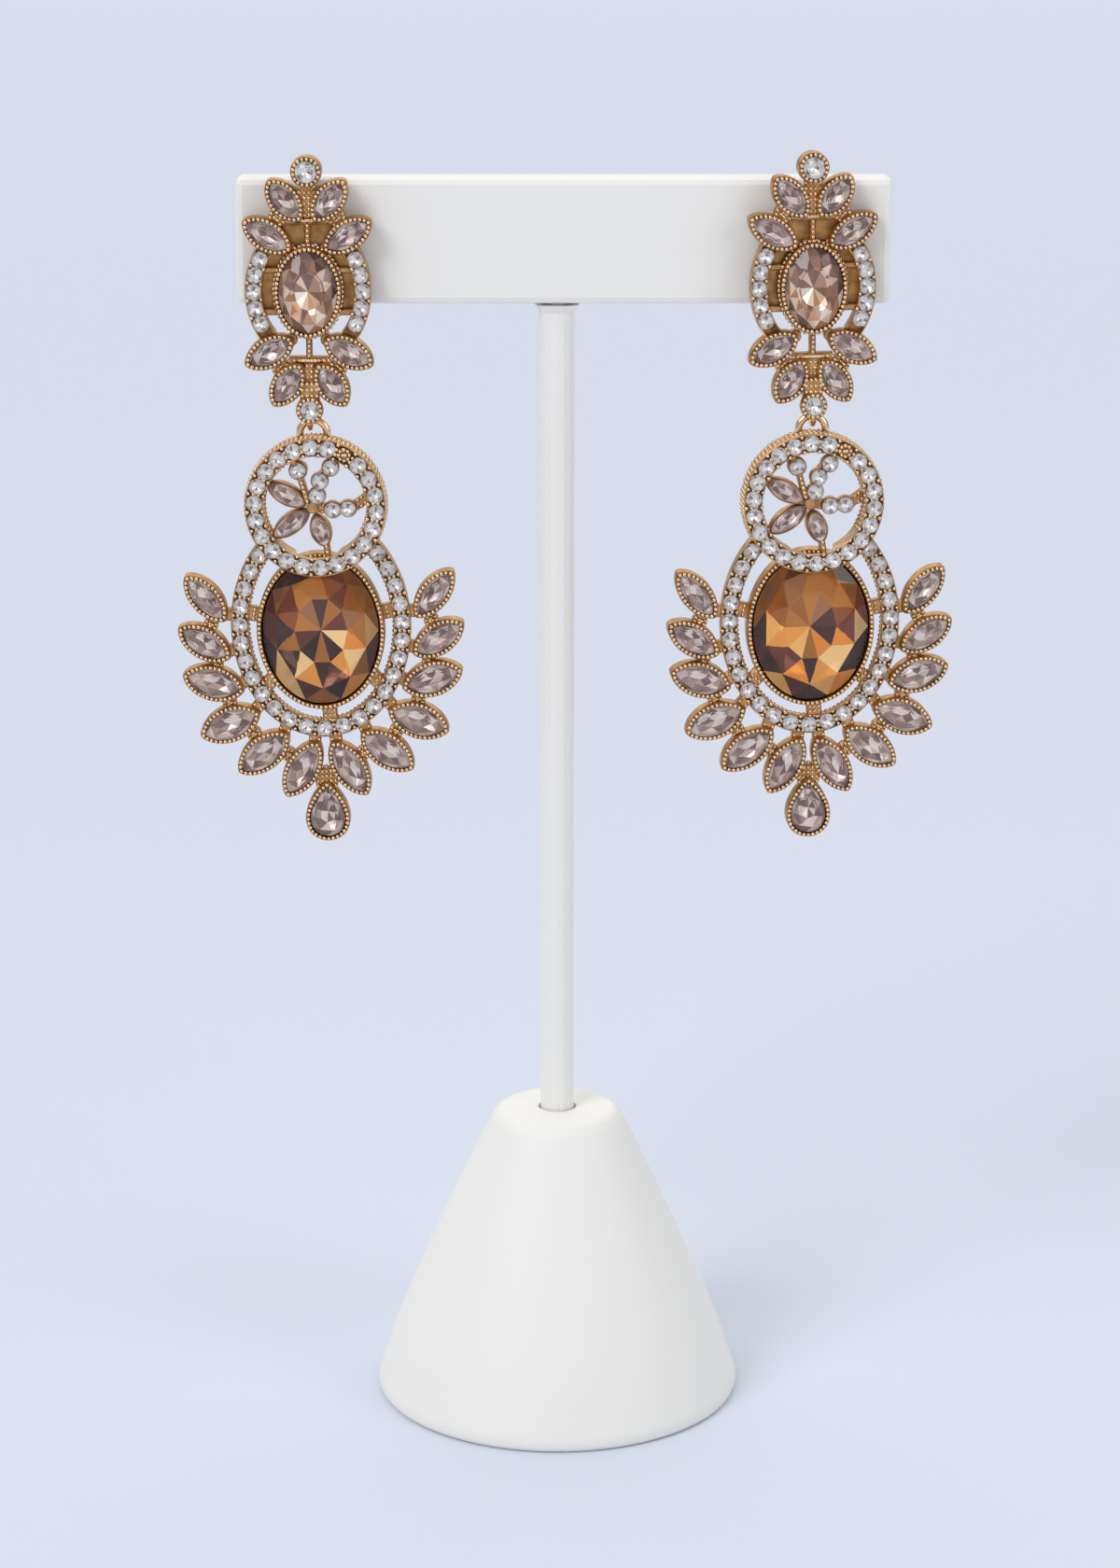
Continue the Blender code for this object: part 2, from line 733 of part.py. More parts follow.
def make_stud_plan():
    plan = Plan()
    setting_width = OVAL_HALF_WIDTH + OVAL_WALL
    setting_height = OVAL_HALF_HEIGHT + OVAL_WALL
    bar_up = CROSSBAR_UP * setting_height
    bar_down = CROSSBAR_DOWN * setting_height
    crossbar = CROSSBAR_HALF_LENGTH
    for side in (1, -1):
        band = ARC_BAND / 2
        outer = ellipse(ARC_HALF_WIDTH + band, ARC_HALF_HEIGHT + band, 11, -ARC_REACH, ARC_REACH)
        inner = ellipse(ARC_HALF_WIDTH - band, ARC_HALF_HEIGHT - band, 11, -ARC_REACH, ARC_REACH)
        arc = outer + inner[::-1]
        plan.fill(0.0, ARC_RIM, arc if side > 0 else mirrored(arc))
        for up in (PIN_HEIGHT, -PIN_HEIGHT):
            near = side * (OVAL_HALF_WIDTH + OVAL_WALL / 3) * math.sqrt(1 - (up / setting_height) ** 2)
            far = side * (ARC_HALF_WIDTH - 0.95 * band) * math.sqrt(1 - (up / ARC_HALF_HEIGHT) ** 2)
            plan.fill(0.0, STUD_WEB, ribbon([(near, up), (far, up)], PIN_WIDTH))
        places = ellipse(ARC_HALF_WIDTH, ARC_HALF_HEIGHT, ARC_STONES, -ARC_STONE_REACH, ARC_STONE_REACH)
        for across, up in places:
            plan.set_round(ARC_RIM, PAVE_RISE, PAVE_RADIUS, side * across, up)
    for side in (1, -1):
        for joint_u, joint_v in WEB_JOINTS:
            middle = (side * joint_u * setting_width, joint_v * setting_height)
            plan.fill(0.0, STUD_WEB, disc(JOINT_RADIUS, *middle, 8))
    plan.fill(0.0, STUD_WEB, ribbon([(-crossbar, bar_up), (crossbar, bar_up)], CROSSBAR_HEIGHT))
    plan.fill(0.0, STUD_WEB, ribbon([(-crossbar, bar_down), (crossbar, bar_down)], CROSSBAR_HEIGHT))
    plan.fill(0.0, STUD_WEB, ribbon([(0, bar_down), (0, bar_up)], SPINE_WIDTH))
    plan.fill(0.0, STUD_WEB, ribbon([(0, bar_up), (0, TOP_ROUND_HEIGHT)], YOKE_WIDTH))
    plan.clear(-MM, STUD_WEB + MM, disc(PIERCING_RADIUS, 0.0, PIERCING_UP * setting_height, 8))
    plan.fill(0.0, STUD_WEB, ribbon([(0, YOKE_END * setting_height), (0, bar_down)], YOKE_WIDTH))
    hinge_up = -HINGE_DROP
    loop_top = hinge_up + loop_rise() + LOOP_RADIUS
    neck_top = NECK_TOP * setting_height
    neck = ribbon([(0, loop_top), (0, neck_top)], NECK_WIDTH)
    plan.fill(0.0, STUD_CUP_RIM, neck)
    for u, v, direction, length in stud_leaf_rows():
        root = length / 2 - ROOT_RADIUS / 2
        root_u = u - root * math.cos(math.radians(direction))
        root_v = v - root * math.sin(math.radians(direction))
        plan.fill(0.0, STUD_WEB, disc(ROOT_RADIUS, root_u, root_v, 6))
        leaf_cup(plan, STUD_CUP_RIM, length, STUD_LEAF_WIDTH, u, v, direction)
    plan.fill(0.0, OVAL_RIM, ellipse(setting_width, setting_height, OVAL_SIDES))
    hollow_width, hollow_height = OVAL_HALF_WIDTH + STONE_GAP, OVAL_HALF_HEIGHT + STONE_GAP
    plan.clear(FLOOR, OVAL_RIM, ellipse(hollow_width, hollow_height, OVAL_SIDES))
    plan.fill(0.0, TOP_ROUND_RIM, disc(TOP_ROUND_RADIUS, 0.0, TOP_ROUND_HEIGHT))
    plan.set_round(TOP_ROUND_RIM, ROUND_STONE_RISE, TOP_ROUND_STONE, 0.0, TOP_ROUND_HEIGHT)
    plan.fill(BOTTOM_ROUND_BACK, BOTTOM_ROUND_RIM, disc(BOTTOM_ROUND_RADIUS, 0.0, BOTTOM_ROUND_HEIGHT))
    plan.set_round(BOTTOM_ROUND_RIM, ROUND_STONE_RISE, BOTTOM_ROUND_STONE, 0.0, BOTTOM_ROUND_HEIGHT)
    return plan


def loop_rise():
    """How far the loop's centre is above the hinge axis."""
    return LOOP_RADIUS - LOOP_WIRE_RADIUS - BAIL_WIRE_RADIUS - LINK_GAP


def make_stud_mesh():
    middle = Vector((0.0, -HINGE_DEPTH, -HINGE_DROP + loop_rise()))
    turns = [2 * math.pi * i / LOOP_STEPS for i in range(LOOP_STEPS)]
    ring = [middle + LOOP_RADIUS * Vector((0.0, math.cos(a), math.sin(a))) for a in turns]
    loop = wire("loop", ring, LOOP_WIRE_RADIUS, closed=True)
    inner_end = -FLOOR * 0.6
    post = peg("post", POST_RADIUS, (0, inner_end, POST_HEIGHT), (0, POST_LENGTH, POST_HEIGHT), sides=10)
    return fused(make_stud_plan().mesh("stud_frame"), [loop, post])


# Drop

def drop_leaf_rows():
    """Centre, direction, length and width of each leaf of the drop, right side then left side."""
    reach_u = RING_HALF_WIDTH + RING_BAND / 2 + LEAF_ROOT_OFFSET
    reach_v = RING_HALF_HEIGHT + RING_BAND / 2 + LEAF_ROOT_OFFSET
    rows = []
    for angle, direction, length_share, width_share in DROP_LEAVES:
        length = length_share * LEAF_LENGTH
        heading = math.radians(direction)
        u = reach_u * math.cos(math.radians(angle)) + length / 2 * math.cos(heading)
        v = reach_v * math.sin(math.radians(angle)) + length / 2 * math.sin(heading)
        rows.append((u, v, direction, length, width_share * LEAF_WIDTH))
    return rows + [(-u, v, 180.0 - turn, length, width) for u, v, turn, length, width in rows]


def ring_outline(offset):
    return ellipse(RING_HALF_WIDTH + offset, RING_HALF_HEIGHT + offset, RING_SIDES)


def main_outline(offset):
    outline = ellipse(MAIN_HALF_WIDTH + offset, MAIN_HALF_HEIGHT + offset, MAIN_SIDES)
    return moved(outline, 0.0, MAIN_HEIGHT)


def ellipse_reach(half_width, half_height, angle):
    """Distance from an ellipse's centre to its edge at an angle."""
    across, up = math.cos(angle) / half_width, math.sin(angle) / half_height
    return 1 / math.hypot(across, up)


def circle_point(across, up):
    return across * CIRCLE_RADIUS, up * CIRCLE_RADIUS + CIRCLE_HEIGHT


def draw_ring(plan):
    band = RING_BAND / 2
    plan.fill(0.0, RING_RIM, ring_outline(band), ring_outline(-band))
    plan.clear(-MM, RING_RIM + MM, disc(CIRCLE_RADIUS - CIRCLE_BAND / 2, 0.0, CIRCLE_HEIGHT, CIRCLE_SIDES))
    for degrees in BRIDGE_ANGLES:
        angle = math.radians(degrees)
        near = ellipse_reach(MAIN_HALF_WIDTH + MAIN_WALL / 2, MAIN_HALF_HEIGHT + MAIN_WALL / 2, angle)
        far = ellipse_reach(RING_HALF_WIDTH - 0.92 * band, RING_HALF_HEIGHT - 0.92 * band, angle)
        ends = [(r * math.cos(angle), r * math.sin(angle)) for r in (near, far)]
        plan.fill(0.0, BRIDGE_DEPTH, ribbon(ends, BRIDGE_WIDTH))
    first = first_ring_angle()

    def at(degrees):
        angle = math.radians(degrees)
        return RING_HALF_WIDTH * math.cos(angle), RING_HALF_HEIGHT * math.sin(angle)

    for across, up in spread_along(at, first, -180.0 - first, RING_STONES):
        plan.set_round(RING_RIM, PAVE_RISE, PAVE_RADIUS, across, up)


def first_ring_angle():
    """The angle on the ring where its first stone just clears the circle."""
    clear = CIRCLE_RADIUS + CIRCLE_BAND / 2 + PAVE_RADIUS + 0.05 * MM
    for degrees in np.arange(80.0, 0.0, -0.25):
        angle = math.radians(degrees)
        across = RING_HALF_WIDTH * math.cos(angle)
        up = RING_HALF_HEIGHT * math.sin(angle) - CIRCLE_HEIGHT
        if math.hypot(across, up) > clear:
            return float(degrees)
    return 0.0


def draw_leaves(plan):
    rows = drop_leaf_rows()
    half = len(rows) // 2
    inner_share = 0.12
    for side in (rows[:half], rows[half:]):
        waists = []
        for u, v, direction, length, width in side:
            heading = math.radians(direction)
            root = length / 2 - ROOT_REACH
            root_u, root_v = u - root * math.cos(heading), v - root * math.sin(heading)
            share = math.hypot(root_u / RING_HALF_WIDTH, root_v / RING_HALF_HEIGHT)
            foot = (root_u / share, root_v / share)
            plan.fill(0.0, WEB_DEPTH, ribbon([foot, (root_u, root_v)], 2 * ROOT_RADIUS))
            back = inner_share * length
            waists.append((u - back * math.cos(heading), v - back * math.sin(heading)))
        for (u0, v0), (u1, v1) in zip(waists, waists[1:]):
            plan.fill(0.0, WEB_DEPTH, disc(ROOT_RADIUS * 1.2, (u0 + u1) / 2, (v0 + v1) / 2, 6))
    neck = PEAR_HEIGHT + PEAR_LENGTH / 2
    plan.fill(0.0, WEB_DEPTH, disc(ROOT_RADIUS * 2.0, 0.0, neck, 8))
    for u, v, direction, length, width in rows:
        leaf_cup(plan, LEAF_RIM, length, width, u, v, direction)
    plan.fill(0.0, LEAF_RIM, moved(pear(PEAR_LENGTH, PEAR_WIDTH, PEAR_SIDES), 0.0, PEAR_HEIGHT))
    hollow = pear(PEAR_LENGTH - 2 * TIP_SHARE * CUP_WALL, PEAR_WIDTH - 2 * CUP_WALL, PEAR_SIDES)
    plan.clear(FLOOR, LEAF_RIM, moved(hollow, 0.0, PEAR_HEIGHT - CUP_WALL * 0.3))


def draw_circle(plan):
    band = CIRCLE_BAND / 2
    outer = disc(CIRCLE_RADIUS + band, 0.0, CIRCLE_HEIGHT, CIRCLE_SIDES)
    inner = disc(CIRCLE_RADIUS - band, 0.0, CIRCLE_HEIGHT, CIRCLE_SIDES)
    plan.fill(CIRCLE_BACK, CIRCLE_RIM, outer, inner)
    plan.clear(MAIN_FLOOR, CIRCLE_BRIDGE_BACK, main_outline(STONE_GAP))
    for place in range(CIRCLE_PLACES):
        degrees = CIRCLE_FIRST + 360.0 * place / CIRCLE_PLACES
        angle = math.radians(degrees)
        across, up = circle_point(math.cos(angle), math.sin(angle))
        if place == CIRCLE_BARE_PLACE:
            plan.set_round(CIRCLE_RIM, PAVE_RISE / 2, BARE_BOSS_RADIUS, across, up)
        else:
            plan.set_round(CIRCLE_RIM, PAVE_RISE, PAVE_RADIUS, across, up, degrees)


def draw_flower(plan):
    for path in (HOOK_UPPER, HOOK_LOWER):
        route = curved([circle_point(*p) for p in path], 2)
        plan.fill(FLOWER_BACK, HOOK_RIM, ribbon(route, HOOK_BAND))
    for u0, v0, u1, v1 in STALKS:
        plan.fill(FLOWER_BACK, HOOK_RIM, ribbon([circle_point(u0, v0), circle_point(u1, v1)], STALK_WIDTH))
    plan.fill(FLOWER_BACK, FLOWER_RIM, disc(NODE_RADIUS, *circle_point(*NODE_PLACE), 10))
    plan.fill(FLOWER_BACK, FLOWER_RIM, disc(BUD_RADIUS, *circle_point(*BUD_PLACE)))
    for u0, v0, u1, v1 in PETALS:
        root, tip = Vector(circle_point(u0, v0)), Vector(circle_point(u1, v1))
        along = tip - root
        turn = math.degrees(math.atan2(along.y, along.x))
        middle = (root + tip) / 2
        petal = marquise(along.length, PETAL_WIDTH, 10)
        stone = marquise(along.length - 3.2 * PETAL_WALL, PETAL_WIDTH - 2 * PETAL_WALL, 10)
        plan.fill(FLOWER_BACK, FLOWER_RIM, moved(petal, *middle, turn))
        table = moved(scaled(stone[::2], PAVE_TABLE), *middle, turn)
        plan.set_stone(FLOWER_RIM, PETAL_RISE, moved(stone, *middle, turn), table)
    for across, up in HOOK_STONES:
        plan.set_round(HOOK_RIM, PAVE_RISE, HOOK_STONE, *circle_point(across, up))
    plan.set_round(FLOWER_RIM, PAVE_RISE, BUD_STONE, *circle_point(*BUD_PLACE))


def hinge_height():
    """Height of the hinge axis above the ring's centre."""
    clear = 2 * LOOP_WIRE_RADIUS + LINK_GAP + BAIL_WIRE_RADIUS + 0.5 * MM
    return CIRCLE_HEIGHT + CIRCLE_RADIUS + CIRCLE_BAND / 2 + clear


def make_drop_mesh():
    plan = Plan()
    draw_ring(plan)
    draw_leaves(plan)
    plan.fill(0.0, MAIN_RIM, main_outline(MAIN_WALL))
    plan.clear(MAIN_FLOOR, MAIN_RIM, main_outline(STONE_GAP))
    draw_circle(plan)
    draw_flower(plan)
    top = hinge_height()
    arch = []
    for angle in np.linspace(math.pi, 0.0, BAIL_STEPS):
        arch.append((BAIL_RADIUS * math.cos(angle), -DROP_BALANCE, top + BAIL_RADIUS * (math.sin(angle) - 1)))
    foot = CIRCLE_HEIGHT + CIRCLE_RADIUS
    arch.insert(0, (-BAIL_RADIUS, -DROP_BALANCE, foot))
    arch.append((BAIL_RADIUS, -DROP_BALANCE, foot))
    bail = wire("bail", arch, BAIL_WIRE_RADIUS)
    return fused(plan.mesh("drop_frame"), [bail])


def place_stone(name, mesh, parent, origin, across, up, depth, turn=0.0):
    stone = add_object(name, mesh, parent=parent)
    stone.location = Vector(origin) + Vector((across, -depth, up))
    stone.rotation_euler = (0.0, -math.radians(turn), 0.0)
    return stone


def tilted(turn, lean):
    """A turn about Z after a lean whose bottom goes towards +X, both in degrees."""
    return Matrix.Rotation(math.radians(turn), 4, "Z") @ Matrix.Rotation(-math.radians(lean), 4, "Y")


def add_empty(name, matrix):
    empty = bpy.data.objects.new(name, None)
    bpy.context.collection.objects.link(empty)
    empty.matrix_world = matrix
    return empty


def make_meshes(finishes):
    """The meshes that both earrings share."""
    meshes = {"stud": make_stud_mesh(), "drop": make_drop_mesh()}
    for mesh in meshes.values():
        mesh.materials.append(finishes["gold"])
    oval = ellipse(OVAL_HALF_WIDTH, OVAL_HALF_HEIGHT, 16)
    oval_pavilion = OVAL_RIM - OVAL_SEAT - GIRDLE - FLOOR - FIT_GAP
    meshes["oval"] = cut_stone("oval", oval, OVAL_CROWN, oval_pavilion, girdle=GIRDLE, finish=finishes["peach"])
    main = ellipse(MAIN_HALF_WIDTH, MAIN_HALF_HEIGHT, 16)
    meshes["main"] = cut_stone("main", main, MAIN_CROWN, MAIN_PAVILION, girdle=GIRDLE, finish=finishes["topaz"])
    gap = 2 * STONE_GAP
    pear_stone = pear(PEAR_LENGTH - 2 * TIP_SHARE * CUP_WALL - gap, PEAR_WIDTH - 2 * CUP_WALL - gap, 16)
    pear_cut = dict(stars=False, finish=finishes["smoke"])
    meshes["pear"] = cut_stone("pear", pear_stone, LEAF_CROWN, LEAF_PAVILION, **pear_cut)
    return meshes


def make_earring(row, meshes, finishes):
    side, share, up, lean, turn, drop_lean, slide = row
    across, height = stud_middle(share, up)
    front = -BAR_THICKNESS / 2 - STANDOFF
    stud_place = Matrix.Translation((across, front, height)) @ tilted(turn, lean)
    stud = add_empty(side + "_stud", stud_place)
    hinge = stud_place @ Vector((slide, -HINGE_DEPTH, -HINGE_DROP))
    drop = add_empty(side + "_drop", Matrix.Translation(hinge) @ tilted(turn, drop_lean))
    add_object(side + "_stud_frame", meshes["stud"], parent=stud)
    place_stone(side + "_stud_oval", meshes["oval"], stud, (0, 0, 0), 0, 0, OVAL_RIM - OVAL_SEAT)
    for number, (u, v, direction, length) in enumerate(stud_leaf_rows(), 1):
        name = f"{side}_stud_leaf_{number}"
        mesh = leaf_stone_mesh(name, length, STUD_LEAF_WIDTH, finishes["smoke"])
        place_stone(name, mesh, stud, (0, 0, 0), u, v, STUD_CUP_RIM - LEAF_SEAT, direction)
    origin = (0.0, DROP_BALANCE, -hinge_height())
    frame = add_object(side + "_drop_frame", meshes["drop"], parent=drop)
    frame.location = origin
    main_depth = MAIN_RIM - MAIN_SEAT
    place_stone(side + "_main_stone", meshes["main"], drop, origin, 0, MAIN_HEIGHT, main_depth)
    for number, (u, v, direction, length, width) in enumerate(drop_leaf_rows(), 1):
        name = f"{side}_drop_leaf_{number}"
        mesh = leaf_stone_mesh(name, length, width, finishes["smoke"])
        place_stone(name, mesh, drop, origin, u, v, LEAF_RIM - LEAF_SEAT, direction)
    pear_up = PEAR_HEIGHT - CUP_WALL * 0.3
    place_stone(side + "_pear_stone", meshes["pear"], drop, origin, 0, pear_up, LEAF_RIM - LEAF_SEAT)


def main():
    clear_scene()
    finishes = {
        "gold": material("antique gold plate", (0.58, 0.38, 0.13), 0.28, metallic=1.0),
        "topaz": material("topaz brown glass", (0.55, 0.25, 0.07), 0.03, transmission=0.6),
        "peach": material("champagne glass", (0.72, 0.5, 0.36), 0.03, transmission=0.6),
        "smoke": material("smoky rose glass", (0.62, 0.52, 0.48), 0.03, transmission=0.6),
        "ivory": material("ivory leatherette", (0.86, 0.85, 0.82), 0.6),
    }
    make_stand_base(finishes["ivory"])
    make_stand_stem(finishes["ivory"])
    make_stand_bar(finishes["ivory"])
    meshes = make_meshes(finishes)
    for row in EARRINGS:
        make_earring(row, meshes, finishes)
    bpy.context.view_layer.update()


main()
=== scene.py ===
# %% [markdown]
# # A pair of chandelier earrings on a display stand
#
# The jewels are cast metal plated in antique gold and set with pressed glass stones. Fine rows of beads,
# called milgrain, run along every edge. They hang on a matte ivory T-shaped stand.
#
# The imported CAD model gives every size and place. This lesson makes one stud and one drop in their own flat
# frames, with a finished surface for each CAD piece, and then sets them out left and right.

# %% Load the frame
import math
import random

import bmesh
import bpy
import numpy as np
from mathutils import Matrix, Vector


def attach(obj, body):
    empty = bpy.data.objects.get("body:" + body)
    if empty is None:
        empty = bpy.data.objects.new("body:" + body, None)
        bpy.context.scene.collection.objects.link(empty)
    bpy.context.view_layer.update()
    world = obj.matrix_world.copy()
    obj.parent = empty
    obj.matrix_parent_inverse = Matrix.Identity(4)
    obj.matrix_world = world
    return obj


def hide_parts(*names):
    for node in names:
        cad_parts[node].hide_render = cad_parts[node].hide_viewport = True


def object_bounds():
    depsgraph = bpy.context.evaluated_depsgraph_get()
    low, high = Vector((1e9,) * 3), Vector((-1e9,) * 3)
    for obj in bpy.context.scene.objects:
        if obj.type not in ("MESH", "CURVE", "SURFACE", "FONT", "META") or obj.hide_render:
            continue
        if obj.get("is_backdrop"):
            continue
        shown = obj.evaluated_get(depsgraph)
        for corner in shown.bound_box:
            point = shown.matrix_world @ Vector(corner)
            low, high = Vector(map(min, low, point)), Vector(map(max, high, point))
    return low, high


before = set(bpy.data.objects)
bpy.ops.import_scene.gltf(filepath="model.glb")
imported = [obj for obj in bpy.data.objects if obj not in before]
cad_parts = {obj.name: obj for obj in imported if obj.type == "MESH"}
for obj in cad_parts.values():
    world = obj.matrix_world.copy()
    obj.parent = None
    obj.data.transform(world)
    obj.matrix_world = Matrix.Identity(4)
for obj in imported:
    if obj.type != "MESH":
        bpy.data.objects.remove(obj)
cad_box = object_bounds()
scene = bpy.context.scene
MM = 0.001

# %% [markdown]
# Colours are written as sRGB hex values. Blender's shaders work in linear light, so one function turns the
# one into the other. The next ones add a node with its settings and links, which keeps each material short.

# %% Colours and nodes


def linear(hex_colour):
    """An sRGB hex colour as linear red, green, blue and alpha."""
    channels = [int(hex_colour[i:i + 2], 16) / 255 for i in (1, 3, 5)]
    return [c / 12.92 if c <= 0.04045 else ((c + 0.055) / 1.055) ** 2.4 for c in channels] + [1.0]


def feed(tree, node, inputs):
    """Sets a node's inputs, by name or number, to a value, a socket or another node's first output."""
    for socket, value in inputs.items():
        if isinstance(value, bpy.types.Node):
            value = value.outputs[0]
        if isinstance(value, bpy.types.NodeSocket):
            tree.links.new(value, node.inputs[socket])
        else:
            node.inputs[socket].default_value = value
    return node


def add_node(tree, kind, inputs=None, **settings):
    """Adds a node with its settings and links."""
    made = tree.nodes.new(kind)
    for name, value in settings.items():
        setattr(made, name, value)
    return feed(tree, made, inputs or {})


def new_material(name):
    """A material, its node tree and its main shader."""
    made = bpy.data.materials.new(name)
    made.use_nodes = True
    return made, made.node_tree, made.node_tree.nodes["Principled BSDF"]


# %% [markdown]
# Antique gold plate is polished on what stands proud and dark brown in the grooves, where the patina stays.
# Every vertex of the gold carries a value, 0 on a rubbed edge and 1 deep in a groove, and the material mixes
# its colours by it. The value is partly that real patina and partly painted shade: cup floors, hollows and
# the feet of beads are darkened as if shade fell there.

# %% Antique gold plate
antique_gold, tree, shader = new_material("antique_gold_plate")
place = add_node(tree, "ShaderNodeTexCoord").outputs["Object"]
# The vertex value is partly patina and partly painted shade in hollows, cup floors and bead feet.
groove = add_node(tree, "ShaderNodeAttribute", attribute_name="tarnish").outputs["Fac"]
cloud = add_node(tree, "ShaderNodeTexNoise", {"Vector": place, "Scale": 900.0, "Detail": 3.0}).outputs["Fac"]
wear_patina_shade = add_node(tree, "ShaderNodeMath", {0: cloud, 1: 0.7, 2: groove}, operation="MULTIPLY_ADD")
shade_and_patina = add_node(tree, "ShaderNodeMapRange", {"Value": wear_patina_shade, "From Min": 0.32, "From Max": 1.25})
plate = add_node(tree, "ShaderNodeValToRGB", {"Fac": shade_and_patina})
ramp = plate.color_ramp.elements
ramp[0].color = linear("#F2D2AA")
ramp[1].color = linear("#482208")
ramp.new(0.45).color = linear("#C8965C")
rough = add_node(tree, "ShaderNodeMapRange", {"Value": shade_and_patina, "To Min": 0.2, "To Max": 0.5})
feed(tree, shader, {"Base Color": plate, "Roughness": rough, "Metallic": 1.0})
print("made", antique_gold.name)

# %% [markdown]
# Each stone is clear glass in front and a coloured foil behind, as pressed jewellery stones are. Light goes
# through the crown, bounces off the foil's facets and comes out again, so a stone flashes when it turns. The
# foil also gives off light in its own colour, a painted emission that stands in for light the glass keeps
# from reaching it.

# %% Glass and foil


def glass(name, colour):
    """Polished pressed glass with a little of the stone's colour."""
    made, tree, shader = new_material(name)
    feed(tree, shader, {"Base Color": linear(colour), "Transmission Weight": 1.0})
    feed(tree, shader, {"Roughness": 0.02, "IOR": 1.52})
    return made


def foil(name, roughness, shine, painted_glow):
    """Lacquered foil behind a stone, coloured per facet with painted highlights and shade, and emitting
    painted light.
    """
    made, tree, shader = new_material(name)
    colour_and_light = add_node(tree, "ShaderNodeAttribute", attribute_name="facet_colour_and_light").outputs["Color"]
    # painted light: the foil emits its own colour, standing in for light that the glass keeps from it
    feed(tree, shader, {"Base Color": colour_and_light, "Emission Color": colour_and_light, "Emission Strength": painted_glow})
    feed(tree, shader, {"Metallic": shine, "Roughness": roughness})
    return made


# The last number of each foil is the strength of its painted emission.
STONES = {
    # crown glass, foil
    "topaz": (glass("topaz_glass_crown", "#FFF1DE"), foil("topaz_foil_painted_light", 0.12, 0.4, 0.34)),
    "champagne": (glass("champagne_glass_crown", "#FFF4EA"), foil("champagne_foil_painted_light", 0.15, 0.4, 0.24)),
    "smoky": (glass("smoky_rose_glass_crown", "#FBF5F4"), foil("smoky_rose_foil_painted_light", 0.2, 0.3, 0.16)),
    "crystal": (glass("clear_glass_crown", "#FFFFFF"), foil("silver_foil_painted_light", 0.2, 0.3, 0.08)),
}
print("made", 2 * len(STONES), "stone materials")

# %% [markdown]
# The foil's facets take their colours from a short palette: the stone's own colour, with painted reflections
# in its dark facets and painted highlights in its cream ones. The upper half of a stone is calm and the lower
# half lively, because light from above comes back out of the lower facets. Each facet draws its colour with a
# fixed seed.

# %% Tints of the foil
# Palettes of painted light: dark facets stand for reflections and cream ones for highlights.
TINTS_AND_PAINTED_LIGHT = {
    # upper half, lower half, share of its colour that the two outer tiers keep, as painted shade by the
    # girdle
    "topaz": (
        "#8A4A18 #A86C28 #AC702C #B47830 #9A5C20 #6A3018 #9A6A48 #4A2410",
        "#2E0E04 #E89434 #F8C878 #A86C28 #5A240A #E8A048 #F8D8A0 #3A1408",
        0.6,
    ),
    "champagne": (
        "#98807A #7A6462 #80686A #987C70 #6A4C44 #B08C78 #E8D4C8 #8A6454",
        "#F8E4D8 #A0785C #5A3624 #C89468 #FFFAF4 #C8A890 #8A664E #D8BCA8",
        0.8,
    ),
    "smoky": (
        "#A8908A #7E6662 #C8B8B0 #F8ECE8 #947E78 #D6C8C0 #866E6A #E4D8D0",
        "#F8ECE8 #A48E86 #DED0C8 #886E6A #F8ECE8 #B4A098 #C4B2AA #947C76",
        1.0,
    ),
    "crystal": (
        "#F6F4F4 #F6F4F4 #D8CCC6 #F6F4F4 #B8A8A0 #F6F4F4 #8E7C74 #F6F4F4",
        "#F6F4F4 #E8E0DC #F6F4F4 #F6F4F4 #C8BCB6 #F6F4F4 #9A8880 #F6F4F4",
        1.0,
    ),
}
OUTER_TIERS = 2
INNER_TIERS = 3
HALF_TIER = 5


def facet_colours_and_light(kind, seed):
    """Colours with painted light for each tier of facets from the right anticlockwise, drawn with a fixed
    seed.
    """
    draw = random.Random(seed)
    halves = [[linear(h) for h in half.split()] for half in TINTS_AND_PAINTED_LIGHT[kind][:2]]
    tiers = []
    # painted shade: the two outer tiers by the girdle are darkened to that share
    for girdle_shade_share in OUTER_TIERS * [TINTS_AND_PAINTED_LIGHT[kind][2]] + INNER_TIERS * [1.0]:
        drawn = draw.sample(halves[0], HALF_TIER) + draw.sample(halves[1], HALF_TIER)
        tiers.append([(girdle_shade_share * r, girdle_shade_share * g, girdle_shade_share * b, alpha) for r, g, b, alpha in drawn])
    return tiers


print("chose tints for", len(TINTS_AND_PAINTED_LIGHT), "kinds of stone")

# %% [markdown]
# The stand is covered in a matte ivory film that has a very fine leather grain. It shows a few dark specks,
# where dust has caught. The grain is a bump 0.35 mm across, and the specks are rare small cells of noise.

# %% Ivory cover
ivory, tree, shader = new_material("ivory_leatherette")
place = add_node(tree, "ShaderNodeTexCoord").outputs["Object"]
grain = add_node(tree, "ShaderNodeTexVoronoi", {"Vector": place, "Scale": 2800.0}).outputs["Distance"]
bump = add_node(tree, "ShaderNodeBump", {"Height": grain, "Strength": 0.15, "Distance": 0.00005})
cells = add_node(tree, "ShaderNodeTexVoronoi", {"Vector": place, "Scale": 95.0})
near = {"Value": cells.outputs["Distance"], "From Min": 0.03, "From Max": 0.06, "To Min": 1.0, "To Max": 0.0}
speck = add_node(tree, "ShaderNodeMapRange", near)
chance = add_node(tree, "ShaderNodeSeparateColor", {"Color": cells.outputs["Color"]}).outputs["Red"]
rare = add_node(tree, "ShaderNodeMath", {0: chance, 1: 0.94}, operation="GREATER_THAN")
shown = add_node(tree, "ShaderNodeMath", {0: speck, 1: rare}, operation="MULTIPLY")
mixed = {"Factor": shown, "A": linear("#F3F1EC"), "B": linear("#8C8478")}
cover = add_node(tree, "ShaderNodeMix", mixed, data_type="RGBA").outputs["Result"]
